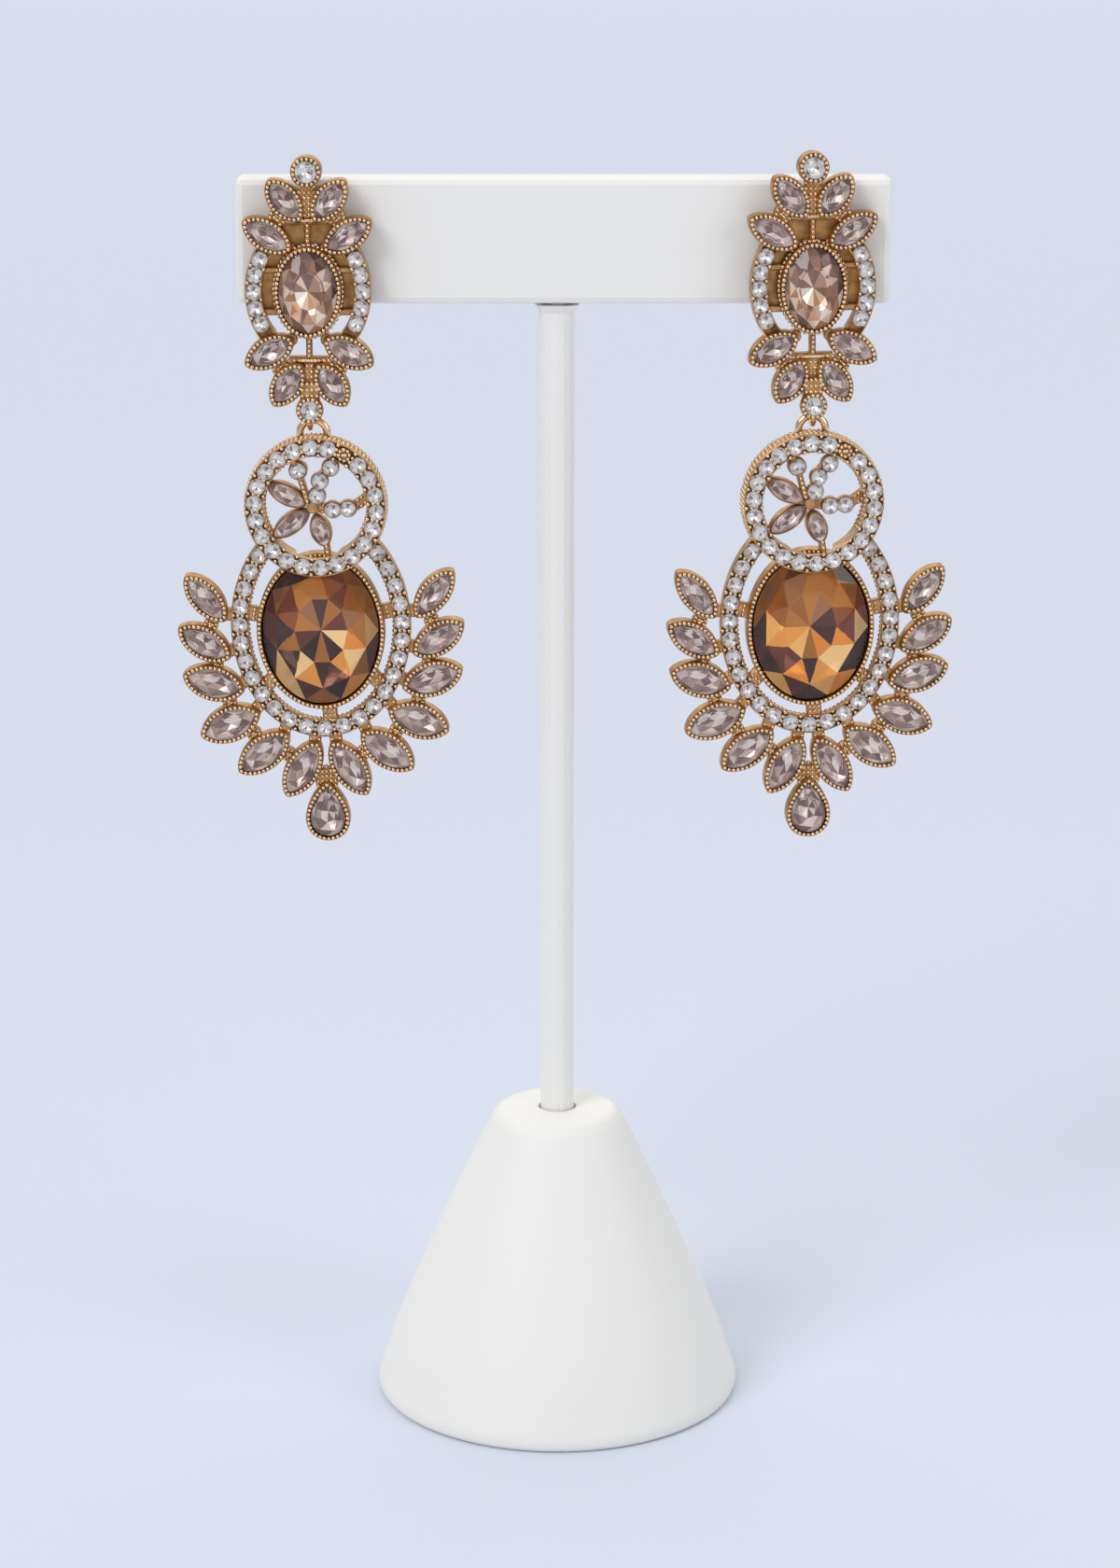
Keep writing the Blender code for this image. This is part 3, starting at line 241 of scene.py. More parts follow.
feed(tree, shader, {"Base Color": cover, "Normal": bump.outputs["Normal"], "Roughness": 0.55})
print("made", ivory.name)

# %% [markdown]
# Every flat ornament is drawn from the front as (across, up) outlines, and a depth is measured from the back
# of the piece towards the viewer. Ovals, pointed ovals and a drop shape are all that these jewels need.

# %% Outlines


def ellipse(half_width, half_height, sides, start=0.0, end=360.0):
    """Points around an ellipse, or along an arc of it with both ends."""
    closed = end - start == 360.0
    steps = sides if closed else sides - 1
    angles = [math.radians(start + (end - start) * i / steps) for i in range(sides)]
    return [(half_width * math.cos(a), half_height * math.sin(a)) for a in angles]


def marquise(length, width, sides):
    """A pointed oval."""
    power = 1.35
    points = []
    for i in range(sides):
        angle = 2 * math.pi * i / sides
        side = math.copysign(abs(math.sin(angle)) ** power, math.sin(angle))
        points.append((length / 2 * math.cos(angle), width / 2 * side))
    return points


def pear(length, width, sides):
    """A drop shape with its point up."""
    taper = 0.7
    widest = max(math.sin(a) * math.sin(a / 2) ** taper for a in np.linspace(0.01, 3.13, 200))
    points = []
    for i in range(sides):
        angle = -2 * math.pi * i / sides
        belly = math.sin(angle) * abs(math.sin(angle / 2)) ** taper / widest
        points.append((width / 2 * belly, length / 2 * math.cos(angle)))
    return points


def moved(outline, across, up, turn=0.0):
    cosine, sine = math.cos(math.radians(turn)), math.sin(math.radians(turn))
    return [(across + u * cosine - v * sine, up + u * sine + v * cosine) for u, v in outline]


def away(u, v, direction, distance):
    """The place at a distance from another in a direction."""
    heading = math.radians(direction)
    return u + distance * math.cos(heading), v + distance * math.sin(heading)


def smooth_route(route, steps=8):
    """More points along a smooth curve through a few."""
    points = [Vector(p) for p in route]
    ends = [2 * points[0] - points[1]] + points + [2 * points[-1] - points[-2]]
    made = []
    for a, b, c, d in zip(ends, ends[1:], ends[2:], ends[3:]):
        for step in range(steps):
            t = step / steps
            bend = (2 * a - 5 * b + 4 * c - d) * t * t + (3 * b - a - 3 * c + d) * t ** 3
            made.append(tuple(b + ((c - a) * t + bend) / 2))
    made.append(tuple(points[-1]))
    return made


def normals(route, closed):
    """The direction to the right of a route at each of its points."""
    count = len(route)
    made = []
    for i in range(count):
        before = route[i - 1] if closed or i else route[i]
        after = route[(i + 1) % count] if closed or i < count - 1 else route[i]
        along = Vector(after) - Vector(before)
        made.append(Vector((along.y, -along.x)).normalized())
    return made


def offset(route, distance):
    """An open route moved sideways, to its right."""
    return [tuple(Vector(p) + n * distance) for p, n in zip(route, normals(route, False))]


# %% [markdown]
# Cast metal has thickness, so every wall here is a closed shell. A cup is a stack of outlines: up the
# outside, over the rounded lip, down inside and across the floor. A strip is a cross-section carried along
# a route. Both write each point's value of patina and painted shade as they go, darkest deep in a hollow.

# %% Cups, strips and plates
WIRE_PATINA_AND_SHADE = -0.1
METAL_CREASE = 38.0


def finished_mesh(bm, name, finishes, sharp=None):
    """A bmesh as a mesh with its materials. It is shaded smooth up to edges of sharp degrees."""
    bmesh.ops.recalc_face_normals(bm, faces=bm.faces)
    made = bpy.data.meshes.new(name)
    bm.to_mesh(made)
    bm.free()
    if sharp:
        made.shade_smooth()
        made.set_sharp_from_angle(angle=math.radians(sharp))
    for finish in finishes:
        made.materials.append(finish)
    return made


class Metal:
    """Collects the closed shells of one piece of metal."""

    def __init__(self):
        self.bm = bmesh.new()
        # Each vertex holds a value of patina and painted shade for the gold material.
        self.tarnish = self.bm.verts.layers.float.new("tarnish")

    def loop(self, points, shades_and_patina):
        made = [self.bm.verts.new(p) for p in points]
        for vert, shade_and_patina in zip(made, shades_and_patina):
            vert[self.tarnish] = shade_and_patina
        return made

    def shell(self, loops, closed=False):
        """Faces from each loop to the next, and one across either end unless the row of loops is closed."""
        count = len(loops[0])
        for first, second in zip(loops, loops[1:] + loops[:1] if closed else loops[1:]):
            for k in range(count):
                n = (k + 1) % count
                self.bm.faces.new((first[k], first[n], second[n], second[k]))
        if not closed:
            self.bm.faces.new(loops[0])
            self.bm.faces.new(loops[-1][::-1])

    def stack(self, rows):
        """Rows of (outline, depth, patina and painted shade) with equal numbers of points."""
        loops = []
        for outline, depth, shade_and_patina in rows:
            loops.append(self.loop([(u, -depth, v) for u, v in outline], [shade_and_patina] * len(outline)))
        self.shell(loops)

    def strip(self, route, section, closed=False, backs=None):
        """A cross-section of (offset, depth, patina and painted shade) rows carried along a route. Backs
        limits its depth.
        """
        loops = []
        for i, (point, side) in enumerate(zip(route, normals(route, closed))):
            back = backs[i] if backs else 0.0
            spots = [Vector(point) + side * across for across, _, _ in section]
            depths = [max(depth, back) for _, depth, _ in section]
            points = [(spot.x, -depth, spot.y) for spot, depth in zip(spots, depths)]
            loops.append(self.loop(points, [shade_and_patina for _, _, shade_and_patina in section]))
        self.shell(loops, closed)

    def wire(self, path, radii, sides=14):
        """A round wire along an open path in one plane."""
        path = [Vector(p) for p in path]
        count = len(path)
        middle = sum(path, Vector()) / count
        flat = (path[0] - middle).cross(path[count // 3] - middle)
        if flat.length < 1e-12:
            flat = (path[-1] - path[0]).cross(Vector((1.0, 0.0, 0.0)))
        flat.normalize()
        loops = []
        for i, (point, radius) in enumerate(zip(path, radii)):
            along = path[min(i + 1, count - 1)] - path[max(i - 1, 0)]
            side = along.normalized().cross(flat)
            turns = [2 * math.pi * k / sides for k in range(sides)]
            spokes = [flat * math.cos(t) + side * math.sin(t) for t in turns]
            loops.append(self.loop([point + spoke * radius for spoke in spokes], [WIRE_PATINA_AND_SHADE] * sides))
        self.shell(loops)

    def mesh(self, name):
        return finished_mesh(self.bm, name, [antique_gold], METAL_CREASE)


def cup_rows(outline_at, rim, floor, wall, back=0.0):
    """A stone's cup. outline_at gives the cup's outline for a distance in from its outer edge."""
    lip = 0.12 * MM
    # The third number of each row is patina and painted shade, darkest on the inner wall and floor of the
    # cup.
    return [
        (outline_at(0.15 * MM), back, 0.5),
        (outline_at(0.0), back + lip, 0.45),
        (outline_at(0.0), rim - 0.35 * MM, 0.45),
        (outline_at(lip * 0.6), rim - lip, 0.5),
        (outline_at(lip * 2.0), rim - 0.06 * MM, 0.75),
        (outline_at(wall - lip * 0.8), rim - 0.08 * MM, 0.6),
        (outline_at(wall), rim - 0.25 * MM, 1.0),
        (outline_at(wall), floor, 1.0),
    ]


def plate_rows(outline_at, high, back=0.0):
    """A flat plate with softened front edges."""
    edge = 0.1 * MM
    return [
        (outline_at(0.0), back, 0.5),
        (outline_at(0.0), high - edge, 0.5),
        (outline_at(edge), high, 0.35),
    ]


def disc_at(radius, across, up, sides=32):
    """An outline that shrinks with the distance in from its edge."""
    return lambda inset: moved(ellipse(radius - inset, radius - inset, sides), across, up)


def marquise_at(length, width, across, up, turn, sides=48):
    return lambda inset: moved(marquise(length - 2.6 * inset, width - 2 * inset, sides), across, up, turn)


def mirrored(section):
    return [(-across, depth, shade_and_patina) for across, depth, shade_and_patina in reversed(section)]


def channel(half_width, rim, floor, back=0.0):
    """The cross-section of a strip with a stone channel between two lips."""
    lip = 0.16 * MM
    edge = 0.06 * MM
    side = [
        (half_width, back + edge, 0.4),
        (half_width, rim - edge, 0.35),
        (half_width - edge, rim, 0.3),
        (half_width - lip, rim - 0.04 * MM, 0.5),
        (half_width - lip - 0.02 * MM, floor, 0.6),
    ]
    inset = half_width - edge
    return side + mirrored(side) + [(-inset, back, 0.6), (inset, back, 0.6)]


def bar(half_width, high, back=0.0):
    """The cross-section of a plain strip with softened front edges."""
    edge = 0.12 * MM
    side = [(half_width, back, 0.5), (half_width, high - edge, 0.5), (half_width - edge, high, 0.35)]
    return side + mirrored(side)


# %% [markdown]
# A faceted stone has a flat table, kite facets that meet at the girdle, stars around the table and pairs of
# small facets above the girdle. The girdle follows the true curve, so a facet there has a curved edge.
# Behind it five tiers of foil facets run to a point, and each facet takes one of the palette's colours,
# which hold painted highlights and painted shade.

# %% Cut stones


def cut_stone(bm, outline_at, mains, crown, pavilion, place, colours_and_light, turn=0, girdle=0.08 * MM):
    """Adds a stone whose girdle lies at the place's Y = 0. outline_at(n) gives n points of its outline."""
    paint = bm.loops.layers.float_color["facet_colour_and_light"]
    table = 0.56
    fine = 4
    sides = 2 * mains
    curve = outline_at(sides * fine)
    corners = curve[::fine]
    star = (1 + table) / 2
    star_rise = crown * (1 - star * math.cos(math.pi / mains)) / (1 - table)

    def spot(u, v, depth):
        return bm.verts.new(place @ Vector((u, -depth, v)))

    upper = [spot(u, v, 0.0) for u, v in curve]
    lower = [spot(u, v, -girdle) for u, v in curve]

    def shrunk(places, share, depth):
        return [spot(u * share, v * share, depth) for u, v in places]

    top = shrunk(corners[::2], table, crown)
    points = shrunk(corners[1::2], star, star_rise)
    ring = shrunk(corners[1::2], 0.78, -girdle - pavilion * 0.36)
    low_ring = shrunk(corners[::2], 0.46, -girdle - pavilion * 0.68)
    culet = spot(0.0, 0.0, -girdle - pavilion)
    whole = len(curve)

    def edge(start, end):
        return [upper[i % whole] for i in range(start * fine, end * fine + 1)]

    tiers = [[tier[(turn + k * len(tier) // mains) % len(tier)] for k in range(mains)] for tier in colours_and_light]
    kites, between, below, low, inner = tiers
    faces = [(top, 0, inner[0])]
    for k in range(mains):
        n = (k + 1) % mains
        here, mid = 2 * k, 2 * k + 1
        faces.append(((top[k], points[k], top[n]), 0, inner[0]))
        faces.append(((top[k], points[k - 1], upper[here * fine], points[k]), 0, inner[0]))
        faces.append(([points[k], *edge(here, mid)], 0, inner[0]))
        faces.append(([points[k], *edge(mid, mid + 1)], 0, inner[0]))
        first = (2 * k + 1) * fine
        arc = [lower[(first + i) % whole] for i in range(2 * fine + 1)]
        faces.append(([ring[k], *arc[:fine + 1]], 1, kites[k]))
        faces.append(([ring[n], *arc[fine:]], 1, kites[n]))
        faces.append(((ring[k], arc[fine], ring[n]), 1, between[k]))
        faces.append(((ring[k - 1], ring[k], low_ring[k]), 1, below[k]))
        faces.append(((low_ring[k], ring[k], low_ring[n]), 1, low[k]))
        faces.append(((low_ring[k], low_ring[n], culet), 1, inner[k]))
    for i in range(whole):
        n = (i + 1) % whole
        faces.append(((upper[i], upper[n], lower[n], lower[i]), 1, kites[0]))
    # Each face gets its colour, which holds painted highlights and shade.
    for corners_of, kind, colour_and_light in faces:
        face = bm.faces.new(corners_of)
        face.material_index = kind
        for loop in face.loops:
            loop[paint] = colour_and_light


def stone_mesh(name, cuts, kind, seed=1, **sizes):
    """One mesh of several stones. Cuts are the arguments of cut_stone after its bm."""
    bm = bmesh.new()
    bm.loops.layers.float_color.new("facet_colour_and_light")
    colours_and_light = facet_colours_and_light(kind, seed)
    for turn, cut in enumerate(cuts):
        cut_stone(bm, *cut, colours_and_light, turn, **sizes)
    return finished_mesh(bm, name, STONES[kind])


# %% [markdown]
# The stud's sizes repeat the CAD's. An oval champagne stone stands in a deep bezel, four pairs of leaves fan
# out above and below, two arcs of small crystals stand at the sides, and a round crystal ends it at the top
# and at the bottom, where the loop that carries the drop is soldered on.

# %% Sizes of the settings
CUP_WALL = 0.5 * MM
STONE_GAP = 0.15 * MM
CUP_FLOOR = 0.5 * MM
CRYSTAL = 0.99 * MM
OVAL_HALF = (3.45 * MM, 4.85 * MM)
OVAL_WALL = 0.6 * MM
OVAL_RIM = 2.7 * MM
SETTING = (OVAL_HALF[0] + OVAL_WALL, OVAL_HALF[1] + OVAL_WALL)
STUD_RIM = 2.1 * MM
STUD_LEAF = (6.5 * MM, 3.8 * MM)
STUD_WEB = 1.4 * MM
ARC_HALF = (6.5 * MM, 7.9 * MM)
ARC_BAND = 2.0 * MM
ARC_RIM = 1.9 * MM
TOP_ROUND = (0.0, 14.2 * MM, 1.85 * MM, 1.3 * MM, 2.6 * MM)
BOTTOM_ROUND = (0.0, -14.1 * MM, 1.65 * MM, 1.15 * MM, 2.7 * MM)
HINGE_DROP = 15.5 * MM
HINGE_DEPTH = 0.9 * MM
LOOP_RADIUS = 1.4 * MM
LOOP_WIRE = 0.35 * MM
BAIL_WIRE = 0.47 * MM
BAIL_RADIUS = 1.62 * MM
LINK_GAP = 0.15 * MM
LOOP_RISE = LOOP_RADIUS - LOOP_WIRE - BAIL_WIRE - LINK_GAP
STUD_LEAVES = [
    # root across, root up, direction, length
    (0.17, 1.53, 51.4, 0.96),
    (0.46, 0.88, 32.3, 1.05),
    (0.44, -1.03, -29.0, 1.03),
    (0.23, -1.58, -55.8, 0.95),
]

stud_leaves = []
for root_across, root_up, direction, share in STUD_LEAVES:
    length = share * STUD_LEAF[0]
    u, v = away(root_across * SETTING[0], root_up * SETTING[1], direction, length / 2)
    stud_leaves.append((u, v, direction, length, STUD_LEAF[1]))
    stud_leaves.append((-u, v, 180.0 - direction, length, STUD_LEAF[1]))
print("the stud has", len(stud_leaves), "leaves")

# %% The stud's metal
BEAD = 0.27 * MM
PITCH = 0.57 * MM
EDGE = 0.33 * MM
SINK = 0.02 * MM
CHANNEL_DEPTH = 0.7 * MM
bead_rows = []
crystals = []


def bead_row(route, depth, closed=True):
    """Notes a row of beads for the Geometry Nodes that come later."""
    bead_rows.append(([(u, -depth, v) for u, v in route], closed))


def bead_line(route, depth):
    bead_row(route, depth, closed=False)


def rib(metal, route, half_width, high, beads=(), back=0.0):
    """A plain bar along a route with rows of beads on it, each at its own distance to the right."""
    metal.strip(route, bar(half_width, high, back))
    for across in beads:
        bead_line(offset(route, across), high)


def leaf_cup(metal, rim, u, v, direction, length, width):
    outline_at = marquise_at(length, width, u, v, direction)
    metal.stack(cup_rows(outline_at, rim, CUP_FLOOR, CUP_WALL))
    bead_row(outline_at(EDGE), rim - SINK)


def round_cup(metal, u, v, radius, stone, rim, back=0.0, beaded=True):
    wall = radius - stone - 0.04 * MM
    metal.stack(cup_rows(disc_at(radius, u, v), rim, rim - 0.9 * MM, max(wall, 0.16 * MM), back))
    if beaded:
        bead_row(disc_at(radius, u, v)(EDGE), rim - SINK)
    crystals.append((u, -(rim + 0.08 * MM), v, stone))


def grained_plate(metal, outline_at, high, inner):
    """A small plate with two rounds of beads on it."""
    metal.stack(plate_rows(outline_at, high))
    bead_row(outline_at(0.25 * MM), high)
    bead_row(outline_at(inner), high + 0.1 * MM)


def set_along(places, rim):
    for u, v in places:
        crystals.append((u, -(rim + SINK), v, CRYSTAL))


def claws_between(places, rim, reach):
    """A short row of beads, for claws, across the band between each stone and the next."""
    for first, second in zip(places, places[1:]):
        middle = (Vector(first) + Vector(second)) / 2
        along = (Vector(second) - Vector(first)).normalized()
        if math.dist(first, second) < 3.0 * CRYSTAL:
            across = Vector((along.y, -along.x)) * reach
            bead_line([tuple(middle - across), tuple(middle + across)], rim - 0.12 * MM)


stud = Metal()
for side in (1, -1):
    arc = [(side * u, v) for u, v in ellipse(*ARC_HALF, 40, -44.0, 44.0)]
    arc = arc if side > 0 else arc[::-1]
    stud.strip(arc, channel(ARC_BAND / 2, ARC_RIM, ARC_RIM - CHANNEL_DEPTH))
    seats = [(side * u, v) for u, v in ellipse(*ARC_HALF, 5, -29.0, 29.0)]
    set_along(seats, ARC_RIM)
    claws_between(seats, ARC_RIM, 0.8 * MM)
    for up in (2.5 * MM, -2.5 * MM):
        near = side * (OVAL_HALF[0] + OVAL_WALL / 3) * math.sqrt(1 - (up / SETTING[1]) ** 2)
        far = side * (ARC_HALF[0] - 0.95 * ARC_BAND / 2) * math.sqrt(1 - (up / ARC_HALF[1]) ** 2)
        rib(stud, [(near, up), (far, up)], 0.35 * MM, STUD_WEB)
    for joint_u, joint_v in ((0.86, 1.6), (0.84, -1.7)):
        joint = disc_at(1.1 * MM, side * joint_u * SETTING[0], joint_v * SETTING[1], 20)
        grained_plate(stud, joint, STUD_WEB, 0.8 * MM)
gallery = [(-1.0 * MM, 0.05 * MM, 0.5), (-1.0 * MM, 0.45 * MM, 0.5)]
gallery += mirrored(gallery)
for side in (1, -1):
    stud.strip([(side * u, v) for u, v in ellipse(4.85 * MM, 6.6 * MM, 20, -22.0, 58.0)], gallery)
behind = [(-3.3 * MM, 7.0 * MM), (3.3 * MM, 7.0 * MM)]
stud.strip(behind, [(1.5 * across, depth, shade_and_patina) for across, depth, shade_and_patina in gallery])
high, low, lowest = 1.54 * SETTING[1], -1.52 * SETTING[1], -2.02 * SETTING[1]
for up in (high, low):
    rib(stud, [(-2.4 * MM, up), (2.4 * MM, up)], 0.45 * MM, STUD_WEB, [0.0])
for start, end in ((low, -0.98 * SETTING[1]), (0.98 * SETTING[1], high)):
    rib(stud, [(0.0, start), (0.0, end)], 0.35 * MM, STUD_WEB, [0.0])
for start, end in ((high, TOP_ROUND[1]), (-2.08 * SETTING[1], low)):
    rib(stud, [(0.0, start), (0.0, end)], 0.9 * MM, STUD_WEB)
for across in (-0.85 * MM, -0.28 * MM, 0.28 * MM, 0.85 * MM):
    bead_line([(across, high), (across, TOP_ROUND[1] - TOP_ROUND[2])], STUD_WEB)
    bead_line([(across, low), (across, lowest)], STUD_WEB)
    bead_line([(across, lowest), (across, BOTTOM_ROUND[1] + BOTTOM_ROUND[2])], STUD_RIM)
loop_top = -HINGE_DROP + LOOP_RISE + LOOP_RADIUS
cup_top = BOTTOM_ROUND[1] + 0.9 * BOTTOM_ROUND[2]
rib(stud, [(0.0, loop_top), (0.0, cup_top)], 1.15 * MM, 1.75 * MM)
rib(stud, [(0.0, cup_top), (0.0, lowest)], 1.15 * MM, STUD_RIM)
for u, v, direction, length, width in stud_leaves:
    root = away(u, v, direction, 0.375 * MM - length / 2)
    stud.stack(plate_rows(disc_at(0.75 * MM, *root, 16), STUD_WEB))
    leaf_cup(stud, STUD_RIM, u, v, direction, length, width)


def oval_at(half, up=0.0, sides=72):
    return lambda inset: moved(ellipse(half[0] - inset, half[1] - inset, sides), 0.0, up)


stud.stack(cup_rows(oval_at(SETTING), OVAL_RIM, CUP_FLOOR, OVAL_WALL - STONE_GAP))
bead_row(oval_at(SETTING)(EDGE), OVAL_RIM - SINK)
bead_row(oval_at(SETTING)(-SINK), 1.5 * MM)
round_cup(stud, *TOP_ROUND)
round_cup(stud, *BOTTOM_ROUND, back=1.7 * MM)
turns = [math.radians(a) for a in np.linspace(90.0, -165.0, 30)]
middle = Vector((0.0, -HINGE_DEPTH, -HINGE_DROP + LOOP_RISE))
loop = [middle + LOOP_RADIUS * Vector((0.0, math.cos(t), math.sin(t))) for t in turns]
stud.wire(loop, [LOOP_WIRE] * len(loop))
POST_HEIGHT = 4.6 * MM
post = [(0.0, y * MM, POST_HEIGHT) for y in (-0.3, 0.0, 7.9, 8.0, 8.35, 8.45, 9.8, 10.05, 10.2)]
stud.wire(post, [r * MM for r in (0.4, 0.4, 0.4, 0.3, 0.3, 0.4, 0.4, 0.3, 0.1)])
stud_frame = stud.mesh("stud_frame_local")
stud_beads, stud_crystals = bead_rows, crystals
bead_rows, crystals = [], []
print("stud:", len(stud_beads), "rows of beads,", len(stud_crystals), "crystals")

# %% [markdown]
# The drop hangs by a bail from the stud's loop. A ring of crystals surrounds the big topaz oval, a circle of
# crystals with a flower inside stands before its top, and twelve leaves and a pear fan out below. The
# circle's back is lifted where it crosses the topaz stone.

# %% Sizes of the drop
RING_HALF = (9.9 * MM, 12.9 * MM)
RING_BAND = 2.1 * MM
RING_RIM = 1.5 * MM
RING_STONES = 25
MAIN_HALF = (7.0 * MM, 8.95 * MM)
MAIN_UP = -0.55 * MM
MAIN_WALL = 0.8 * MM
MAIN_RIM = 2.4 * MM
MAIN_FLOOR = 0.4 * MM
LEAF = (7.75 * MM, 4.4 * MM)
LEAF_RIM = 2.0 * MM
WEB = 1.2 * MM
ROOT = 0.75 * MM
PEAR = (7.7 * MM, 5.5 * MM, -23.3 * MM)
CIRCLE = 7.35 * MM
CIRCLE_BAND = 2.2 * MM
CIRCLE_UP = 15.1 * MM
CIRCLE_BACK = 0.8 * MM
CIRCLE_LIFT = 3.15 * MM
CIRCLE_RIM = 4.1 * MM
FLOWER_BACK = 1.6 * MM
FLOWER_RIM = 3.5 * MM
DROP_BALANCE = 1.5 * MM
HINGE_UP = CIRCLE_UP + CIRCLE + CIRCLE_BAND / 2 + 2 * LOOP_WIRE + LINK_GAP + BAIL_WIRE + 0.5 * MM
DROP_LEAVES = [
    # angle, direction, length, width
    (3.3, 50.9, 0.96, 0.86),
    (-15.2, 32.6, 0.95, 0.93),
    (-33.3, 16.6, 1.0, 1.02),
    (-47.2, -21.1, 1.02, 1.03),
    (-67.4, -37.3, 1.02, 1.0),
    (-86.0, -58.7, 1.04, 0.96),
]

reach = [half + RING_BAND / 2 + 0.6 * MM for half in RING_HALF]
right_leaves = []
for angle, direction, length_share, width_share in DROP_LEAVES:
    length = length_share * LEAF[0]
    root = reach[0] * math.cos(math.radians(angle)), reach[1] * math.sin(math.radians(angle))
    u, v = away(*root, direction, length / 2)
    right_leaves.append((u, v, direction, length, width_share * LEAF[1]))
left_leaves = [(-u, v, 180.0 - turn, length, width) for u, v, turn, length, width in right_leaves]
print("the drop has", 2 * len(right_leaves), "leaves; its hinge is", round(HINGE_UP / MM, 2), "mm up")

# %% The ring, the bezel and the leaves
drop = Metal()


def on_circle(across, up):
    """A place given as shares of the circle's radius from its centre."""
    return across * CIRCLE, up * CIRCLE + CIRCLE_UP


def clear_of_circle(point, gap):
    return math.hypot(point[0], point[1] - CIRCLE_UP) > CIRCLE + gap


ring = [p for p in ellipse(*RING_HALF, 400, 90.0, 450.0 - 0.9) if clear_of_circle(p, -0.3 * MM)]
ring = ring[::3][::-1]
drop.strip(ring, channel(RING_BAND / 2, RING_RIM, RING_RIM - CHANNEL_DEPTH))
bead_line(offset(ring, RING_BAND / 2 - SINK), 0.6 * MM)


def on_ring(degrees):
    angle = math.radians(degrees)
    return RING_HALF[0] * math.cos(angle), RING_HALF[1] * math.sin(angle)


def ring_places():
    """Evenly spaced stones from just under the circle on the right, round the bottom, to the left."""
    first = 80.0
    while not clear_of_circle(on_ring(first), CIRCLE_BAND / 2 + CRYSTAL + 0.05 * MM):
        first -= 0.25
    samples = np.array([on_ring(a) for a in np.linspace(first, -180 - first, 400)])
    steps = np.hypot(*np.diff(samples, axis=0).T)
    walked = np.concatenate([[0.0], np.cumsum(steps)])
    goal = np.linspace(0.0, walked[-1], RING_STONES)
    return list(zip(np.interp(goal, walked, samples[:, 0]), np.interp(goal, walked, samples[:, 1])))


set_along(ring_places(), RING_RIM)
claws_between(ring_places(), RING_RIM, 0.86 * MM)
main_at = oval_at((MAIN_HALF[0] + MAIN_WALL, MAIN_HALF[1] + MAIN_WALL), MAIN_UP, 96)
drop.stack(cup_rows(main_at, MAIN_RIM, MAIN_FLOOR, MAIN_WALL - STONE_GAP))
bead_row(main_at(EDGE), MAIN_RIM - SINK)
for degrees in (11.0, 169.0, 227.0, 273.5, 313.0):
    angle = math.radians(degrees)
    ends = []
    for half, step in ((MAIN_HALF, 0.4 * MM), (RING_HALF, -0.97 * MM)):
        distance = 1 / math.hypot(math.cos(angle) / (half[0] + step), math.sin(angle) / (half[1] + step))
        ends.append((distance * math.cos(angle), distance * math.sin(angle)))
    rib(drop, ends, 0.9 * MM, WEB, (-0.55 * MM, 0.0, 0.55 * MM))
ring_edge = [half + RING_BAND / 2 - 0.15 * MM for half in RING_HALF]
for side in (right_leaves, left_leaves):
    waists = []
    for u, v, direction, length, width in side:
        root = away(u, v, direction, 1.1 * MM - length / 2)
        share = math.hypot(root[0] / ring_edge[0], root[1] / ring_edge[1])
        stem = [(root[0] / share, root[1] / share), root]
        rib(drop, stem, ROOT, WEB, (-0.5 * MM, 0.5 * MM))
        waists.append(away(u, v, direction, -0.12 * length))
        leaf_cup(drop, LEAF_RIM, u, v, direction, length, width)
    for (u0, v0), (u1, v1) in zip(waists, waists[1:]):
        web = disc_at(ROOT * 1.2, (u0 + u1) / 2, (v0 + v1) / 2, 16)
        grained_plate(drop, web, WEB, 0.7 * MM)
pear_root = disc_at(ROOT * 2, 0.0, PEAR[2] + PEAR[0] / 2, 20)
drop.stack(plate_rows(pear_root, WEB))
neck = PEAR[2] + 0.4 * PEAR[0], PEAR[2] + 0.72 * PEAR[0]
for across in (-1.1 * MM, -0.55 * MM, 0.0, 0.55 * MM, 1.1 * MM):
    bead_line([(across, up) for up in neck], WEB + 0.05 * MM)


def pear_at(inset):
    return moved(pear(PEAR[0] - 2.6 * inset, PEAR[1] - 2 * inset, 56), 0.0, PEAR[2] - 0.3 * inset)


drop.stack(cup_rows(pear_at, LEAF_RIM, CUP_FLOOR, CUP_WALL))
bead_row(pear_at(EDGE), LEAF_RIM - SINK)
print("drop:", len(bead_rows), "rows of beads so far")

# %% The circle and its flower
round_route = moved(ellipse(CIRCLE, CIRCLE, 96), 0.0, CIRCLE_UP)[::-1]
backs = []
covered = [half + 0.3 * MM for half in MAIN_HALF]
for u, v in round_route:
    near = []
    for share in (1 - CIRCLE_BAND / 2 / CIRCLE, 1 + CIRCLE_BAND / 2 / CIRCLE):
        across, up = u * share, CIRCLE_UP + (v - CIRCLE_UP) * share
        near.append(math.hypot(across / covered[0], (up - MAIN_UP) / covered[1]))
    backs.append(CIRCLE_LIFT if min(near) < 1.0 else 0.0)
section = channel(CIRCLE_BAND / 2, CIRCLE_RIM, CIRCLE_RIM - CHANNEL_DEPTH, CIRCLE_BACK)
drop.strip(round_route, section, closed=True, backs=backs)
upper_route = [p for p in round_route if p[1] > CIRCLE_UP - 0.55 * CIRCLE]
start = max(range(len(upper_route)), key=lambda i: math.dist(upper_route[i], upper_route[i - 1]))
upper_route = upper_route[start:] + upper_route[:start]
for depth in (1.25 * MM, 2.2 * MM, 3.15 * MM):
    for edge in (-1, 1):
        bead_line(offset(upper_route, edge * (CIRCLE_BAND / 2 - 0.05 * MM)), depth)
EMPTY_SEAT = 20
angles = [math.radians(92.7 + 360.0 * number / 22) for number in range(23)]
